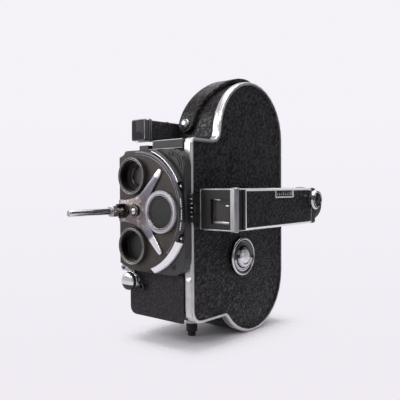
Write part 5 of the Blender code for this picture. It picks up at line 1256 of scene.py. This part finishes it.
edge = tube(frame_path((48.6, 98.5), (65.8, 117.1), 0.5, 8.0), 0.28, 6, closed=True)
piece("window_edge", edge, EDGE_STEEL, "finder")
marks = []
for low, high in FRAMING_MARKS:
    marks += slab("y", rounded(low, high, 0.15, 2), 8.25, 8.0, 0.08)
piece("framing_marks", marks, BRIGHT, "finder")
plate = slab("x", rounded((55.6, 117.6), (82.4, 123.2), 0.3, 2), 71.2, 71.9, 0.1)
piece("scale_plate", plate, ENAMEL, "finder")
ticks = scale_marks(9, 57.4, 2.9, 119.0, 4, (2.6, 1.6), 71.85, 72.05, 0.05)
piece("scale_ticks", ticks, BRIGHT, "finder")
tell("finder window")

# %% [markdown]
# ## Finder wheel
# A knurled wheel at the finder's rear sets its parallax. The knurling could be a bump, but the wheel
# stands out against the pale ground, so it is cut into the rim like the release's milling. The face has a
# raised rim, a small hub and one mark.

# %% Finder wheel
WHEEL = (117.0, 114.3)

knurl = lathe("x", WHEEL, [(8.1, 73.85), (8.62, 74.1), (8.62, 75.5), (8.1, 75.75)], 80, notch=0.26)
piece("wheel_knurl", knurl, DARK_STEEL, "finder_wheel", sharp=20.0)
face = [(7.5, 77.2), (7.4, 77.75), (6.6, 77.9), (5.6, 77.6), (2.0, 77.6), (1.6, 77.85), (0.3, 77.9)]
mark = slab("x", rounded((116.6, 117.6), (117.4, 121.4), 0.2, 2), 77.6, 77.95, 0.08)
face = lathe("x", WHEEL, face, 44) + mark
piece("wheel_face", face, DARK_STEEL, "finder_wheel")
tell("finder wheel")

# %% [markdown]
# ## Eyecup
# The finder's rear isn't in the photograph either. It is given a ribbed rubber cup that holds the eye
# lens. The lens could be left as a dark hole. A domed disc of dark glass takes as little work and gives
# the glint of a lens.

# %% Eyecup
EYECUP = (56.25, 109.25)

ribs = []
for along in (122.0, 124.2, 126.4):
    ribs += hoop("y", EYECUP, 15.45, along, 0.5, 56)
ribs += hoop("y", EYECUP, 14.6, 135.3, 0.6, 56)
piece("eyecup_ribs", ribs, RUBBER, "finder")
eye = [(7.0, 123.0), (6.9, 123.6), (5.0, 124.1), (2.5, 124.4), (0.3, 124.45)]
piece("eye_lens", lathe("y", EYECUP, eye, 40), GLASS, "finder")
tell("eyecup")

# %% [markdown]
# ## Feet
# Two rubber feet hold the body level, each in a small turned ferrule. The ferrule could be a part of the
# foot with a second material. It is a piece of its own here, with two grooves that a flat sleeve would
# lack. The rear foot is out of sight in the photograph, and its ferrule repeats the front one.

# %% Feet
FERRULE = [(4.0, 15.6), (5.3, 15.4), (5.5, 14.2), (5.2, 12.6), (5.4, 11.6), (5.1, 10.8), (4.0, 10.6)]
ferrules = []
for centre in ((1.0, 37.2), (-27.0, 92.0)):
    ferrules += lathe("z", centre, FERRULE, 40)
piece("foot_ferrules", ferrules, STEEL, "camera")
tell("feet")

# %% [markdown]
# ## Hinge
# The finder's hinge has rolled knuckles with rubbed edges. They could be turned one by one. Each is a
# short bent bar here, the same bend at five heights, with a thinner bar at each end of the hinge.

# %% Hinge
KNUCKLES, HINGE_ENDS = (104.0, 107.3, 110.4, 113.6, 117.0), (99.9, 120.6)
KNUCKLE_BEND = [(35.0, -4.0), (35.4, -4.25), (37.9, -4.25), (38.3, -4.0)]

hinge = []
for height in KNUCKLES:
    hinge += tube([(x, y, height) for x, y in KNUCKLE_BEND], 0.62)
for height in HINGE_ENDS:
    hinge += tube([(34.7, -3.9, height), (38.5, -3.9, height)], 0.35)
piece("hinge_knuckles", hinge, EDGE_STEEL, "lid")
tell("hinge")

# %% [markdown]
# ## Bright band
# A bright band runs round the film door. Its solid is flat across and has facets round the hump, where
# the real one is crowned. Smooth shading alone can't bend a highlight over a flat strip, so two crowned
# rolls are laid on it where the light strikes, one up the front edge and one over the hump.

# %% Bright band
BAND_MIDDLE, BAND_HALF, BAND_FOOT, BAND_LENGTH = 30.75, 3.1, 26.5, 31.0
ROLL_MIDDLE, ROLL_HALF, ROLL_START, ROLL_SWEEP = 29.7, 2.2, 2.0, 175.4


def swell(share, peak, ramp):
    """Height of a roll along its length, tapered at both ends."""
    return peak * min(1.0, ramp * share, ramp * (1.0 - share))


rings = []
for step in range(25):
    share = step / 24
    rise, height = swell(share, 0.9, 12.0) + 0.02, BAND_FOOT + BAND_LENGTH * share
    arc = [math.pi * point / 12 for point in range(13)]
    rings.append([at(BAND_MIDDLE + BAND_HALF * math.cos(turn), 0.06 - rise * math.sin(turn), height)
                  for turn in arc])
piece("trim_roll", [(rings, False)], BAND, "lid", sharp=60.0)
rings = []
for step in range(73):
    share = step / 72
    rise, turn = swell(share, 0.30, 10.0) + 0.04, math.radians(ROLL_START + ROLL_SWEEP * share)
    arc = [math.pi * point / 10 for point in range(11)]
    crown = [(ROLL_MIDDLE + ROLL_HALF * math.cos(bend), rise * math.sin(bend)) for bend in arc]
    section = [(ROLL_MIDDLE + ROLL_HALF, -0.4), *crown, (ROLL_MIDDLE - ROLL_HALF, -0.4)]
    rings.append([at(across, *polar(HUMP, HUMP_RADIUS + height, turn)) for across, height in section])
piece("hump_roll", [(rings, False)], BAND, "lid", sharp=60.0)
tell("bright band")

# %% [markdown]
# ## Lock dish
# The film door's lock is a smoked dish in a bright rim, with fine turned circles and two crescents. The
# circles could be grooves in the dish. Thin wires laid on it catch the light along the same lines. The
# crescents run through part of a turn only, so they are swept.

# %% Lock dish
LOCK = (64.8, 67.0)
LOCK_RIM = [(15.0, 34.9), (16.1, 34.9), (16.1, 35.4), (15.8, 36.0), (15.2, 36.35), (14.6, 36.4), (14.2, 36.1),
            (14.0, 35.6)]

piece("lock_rim", lathe("x", LOCK, LOCK_RIM, 72, loop=True), CHROME, "lid", sharp=50.0)
circles = []
for radius in (10.2, 11.5, 12.8):
    circles += hoop("x", LOCK, radius, 35.28, 0.20, 64)
piece("lock_circles", circles, EDGE_STEEL, "lid")
crescents = []
for radius in (10.7, 12.1):
    section = [(radius - 0.45, 35.2), (radius + 0.45, 35.2), (radius + 0.35, 35.5), (radius - 0.35, 35.6)]
    crescents += sector("x", LOCK, section, 190, 335, 36)
piece("lock_crescents", crescents, TRIM, "lid", sharp=50.0)
tell("lock dish")

# %% [markdown]
# ## Lock knob
# In the middle of the dish is a domed knob with a half-ring handle, which turns to free the door. Both
# could be part of the dish. They are pieces of their own that ride on the lock's body, so that they turn
# while the dish stays on the door.

# %% Lock knob
LOCK_DOME = [(6.3, 36.0), (6.2, 37.0), (5.6, 38.0), (4.0, 38.7), (2.0, 38.9), (0.3, 38.95)]

piece("lock_dome", lathe("x", LOCK, LOCK_DOME, 44), TRIM, "lid_lock", sharp=50.0)
handle = []
for inner, outer in ((6.7, 8.3), (8.6, 9.15)):
    section = [(inner, 36.2), (outer, 36.2), (outer, 38.0), (outer - 0.25, 38.3), (inner + 0.25, 38.45),
               (inner, 38.2)]
    handle += sector("x", LOCK, section, 184, 350, 40)
piece("lock_handle", handle, TRIM, "lid_lock", sharp=50.0)
tell("lock knob")

# %% [markdown]
# ## Crank
# On the winding side a crank with a ringed grip winds the spring. The slot and the rings could be cut
# into the solids. They are laid on, and each rides on its own body: the screw turns with the crank, and
# the rings with the grip, which spins by itself.

# %% Crank
CRANK, GRIP = (86.355, 90.0), (60.9, 64.5)
GRIP_RINGS = (-44.0, -46.5, -49.0, -51.5, -54.0, -56.5)

head = screw("x", CRANK, -38.15, -39.2, 3.4, 20) + hoop("x", CRANK, 5.0, -38.2, 0.4, 40)
piece("crank_screw", head, STEEL, "winding_crank")
rings = []
for along in GRIP_RINGS:
    rings += hoop("x", GRIP, 5.35, along, 0.34, 40)
piece("grip_rings", rings, RUBBER, "crank_grip")
tell("crank")

# %% [markdown]
# ## Speed dial
# A knurled dial on the winding side sets the film's speed. Its marks could be printed in the material.
# Short round bars stand for them, so that the ones on the dial turn with it and the ones on the case
# stay.

# %% Speed dial
DIAL, DIAL_MARKS, DIAL_STEP = (26.0, 58.0), 8, 38.0


def dial_marks(along, inner, outer, size):
    """Spokes about the dial's centre, on a level, from one radius to another."""
    marks = []
    for step in range(DIAL_MARKS):
        turn = math.radians(90 + DIAL_STEP * step)
        marks += tube([(along, *polar(DIAL, reach, turn)) for reach in (inner, outer)], size, 6)
    return marks


knurl = lathe("x", DIAL, [(8.6, -34.5), (9.15, -34.8), (9.15, -38.6), (8.6, -38.9)], 84, notch=0.3)
piece("dial_knurl", knurl, DARK_STEEL, "speed_dial", sharp=20.0)
piece("dial_ticks", dial_marks(-39.86, 6.4, 8.0, 0.2), BRIGHT, "speed_dial")
piece("dial_scale", dial_marks(-33.85, 10.6, 12.6, 0.28), BRIGHT, "camera")
tell("speed dial")

# %% [markdown]
# ## Case screws
# Four slotted screws hold the winding side. An Array modifier could copy one head. The screw tool is
# called for each instead, because slots on a real camera seldom stop at the same angle.

# %% Case screws
CASE_SCREWS = (((9.0, 36.0), 30), ((120.0, 36.0), 75), ((9.0, 146.0), 120), ((120.0, 146.0), 10))

screws = []
for centre, angle in CASE_SCREWS:
    screws += screw("x", centre, -33.6, -34.3, 2.4, angle)
piece("case_screws", screws, STEEL, "camera")
tell("case screws")

# %% [markdown]
# ## Counter window
# A small window in the winding side counts the film. It could be cut through the leather. A dark glass
# laid on it, ringed by a bent wire and with ticks on its face, looks the same and leaves the solid as it
# is.

# %% Counter window
window = slab("x", rounded((22.0, 124.0), (38.0, 132.0), 1.5), -33.7, -33.95, 0.08)
piece("counter_glass", window, GLASS, "camera")
wire = tube([(-33.95, u, v) for u, v in rounded((21.6, 123.6), (38.4, 132.4), 1.8)], 0.6, closed=True)
piece("counter_bezel", wire, CHROME, "camera")
ticks = scale_marks(7, 23.4, 2.1, 126.2, 3, (2.8, 1.6), -33.9, -34.05, 0.04)
piece("counter_ticks", ticks, BRIGHT, "camera")
tell("counter window")

# %% [markdown]
# ## Spools
# Behind the film door lie two spools, one in each hump. The photograph doesn't show them, so they follow
# the usual kind: the flange that faces the door has a rolled rim, a raised hub and three pressed ribs.
# Ribs could be pressed into the flange's mesh. Round bars half sunk in it look the same and need no
# cutting.

# %% Spools
SPOOLS = {"feed_spool": HUMP, "takeup_spool": (HUMP[0], HUMP_RADIUS)}
SPOOL_HUB = [(13.0, 23.6), (12.6, 24.4), (11.8, 24.7), (6.0, 24.7), (5.4, 24.3), (5.2, 23.6)]

for body, centre in SPOOLS.items():
    face = hoop("x", centre, 42.7, 23.6, 0.5, 72) + lathe("x", centre, SPOOL_HUB, 56, loop=True)
    for step in range(3):
        turn = math.radians(30 + 120 * step)
        face += tube([(23.75, *polar(centre, reach, turn)) for reach in (15, 18, 36, 39)], 1.1, 10)
    piece(body + "_face", face, DARK_STEEL, body, sharp=50.0)
tell("spools")

# %% [markdown]
# ## Door bead
# Inside, also unseen, the film door is given a stiffening bead that follows both humps. It could be
# pressed into the door's mesh. One closed bar does it too: two half circles round the spools' centres,
# joined by straight runs.

# %% Door bead
path = []
for centre, start in zip(SPOOLS.values(), (0, 180)):
    path += [(27.2, *polar(centre, 39.0, math.radians(start + 7.5 * step))) for step in range(25)]
piece("lid_bead", tube(path, 0.8, closed=True), BAND, "lid")
tell("door bead")

# %% [markdown] ## Size and finish A dressed part that had grown past its solids would no longer be the
# size of the real one. The boxes could be compared by eye in the viewport; here the view layer is only
# updated.

# %% Size and finish
bpy.context.view_layer.update()
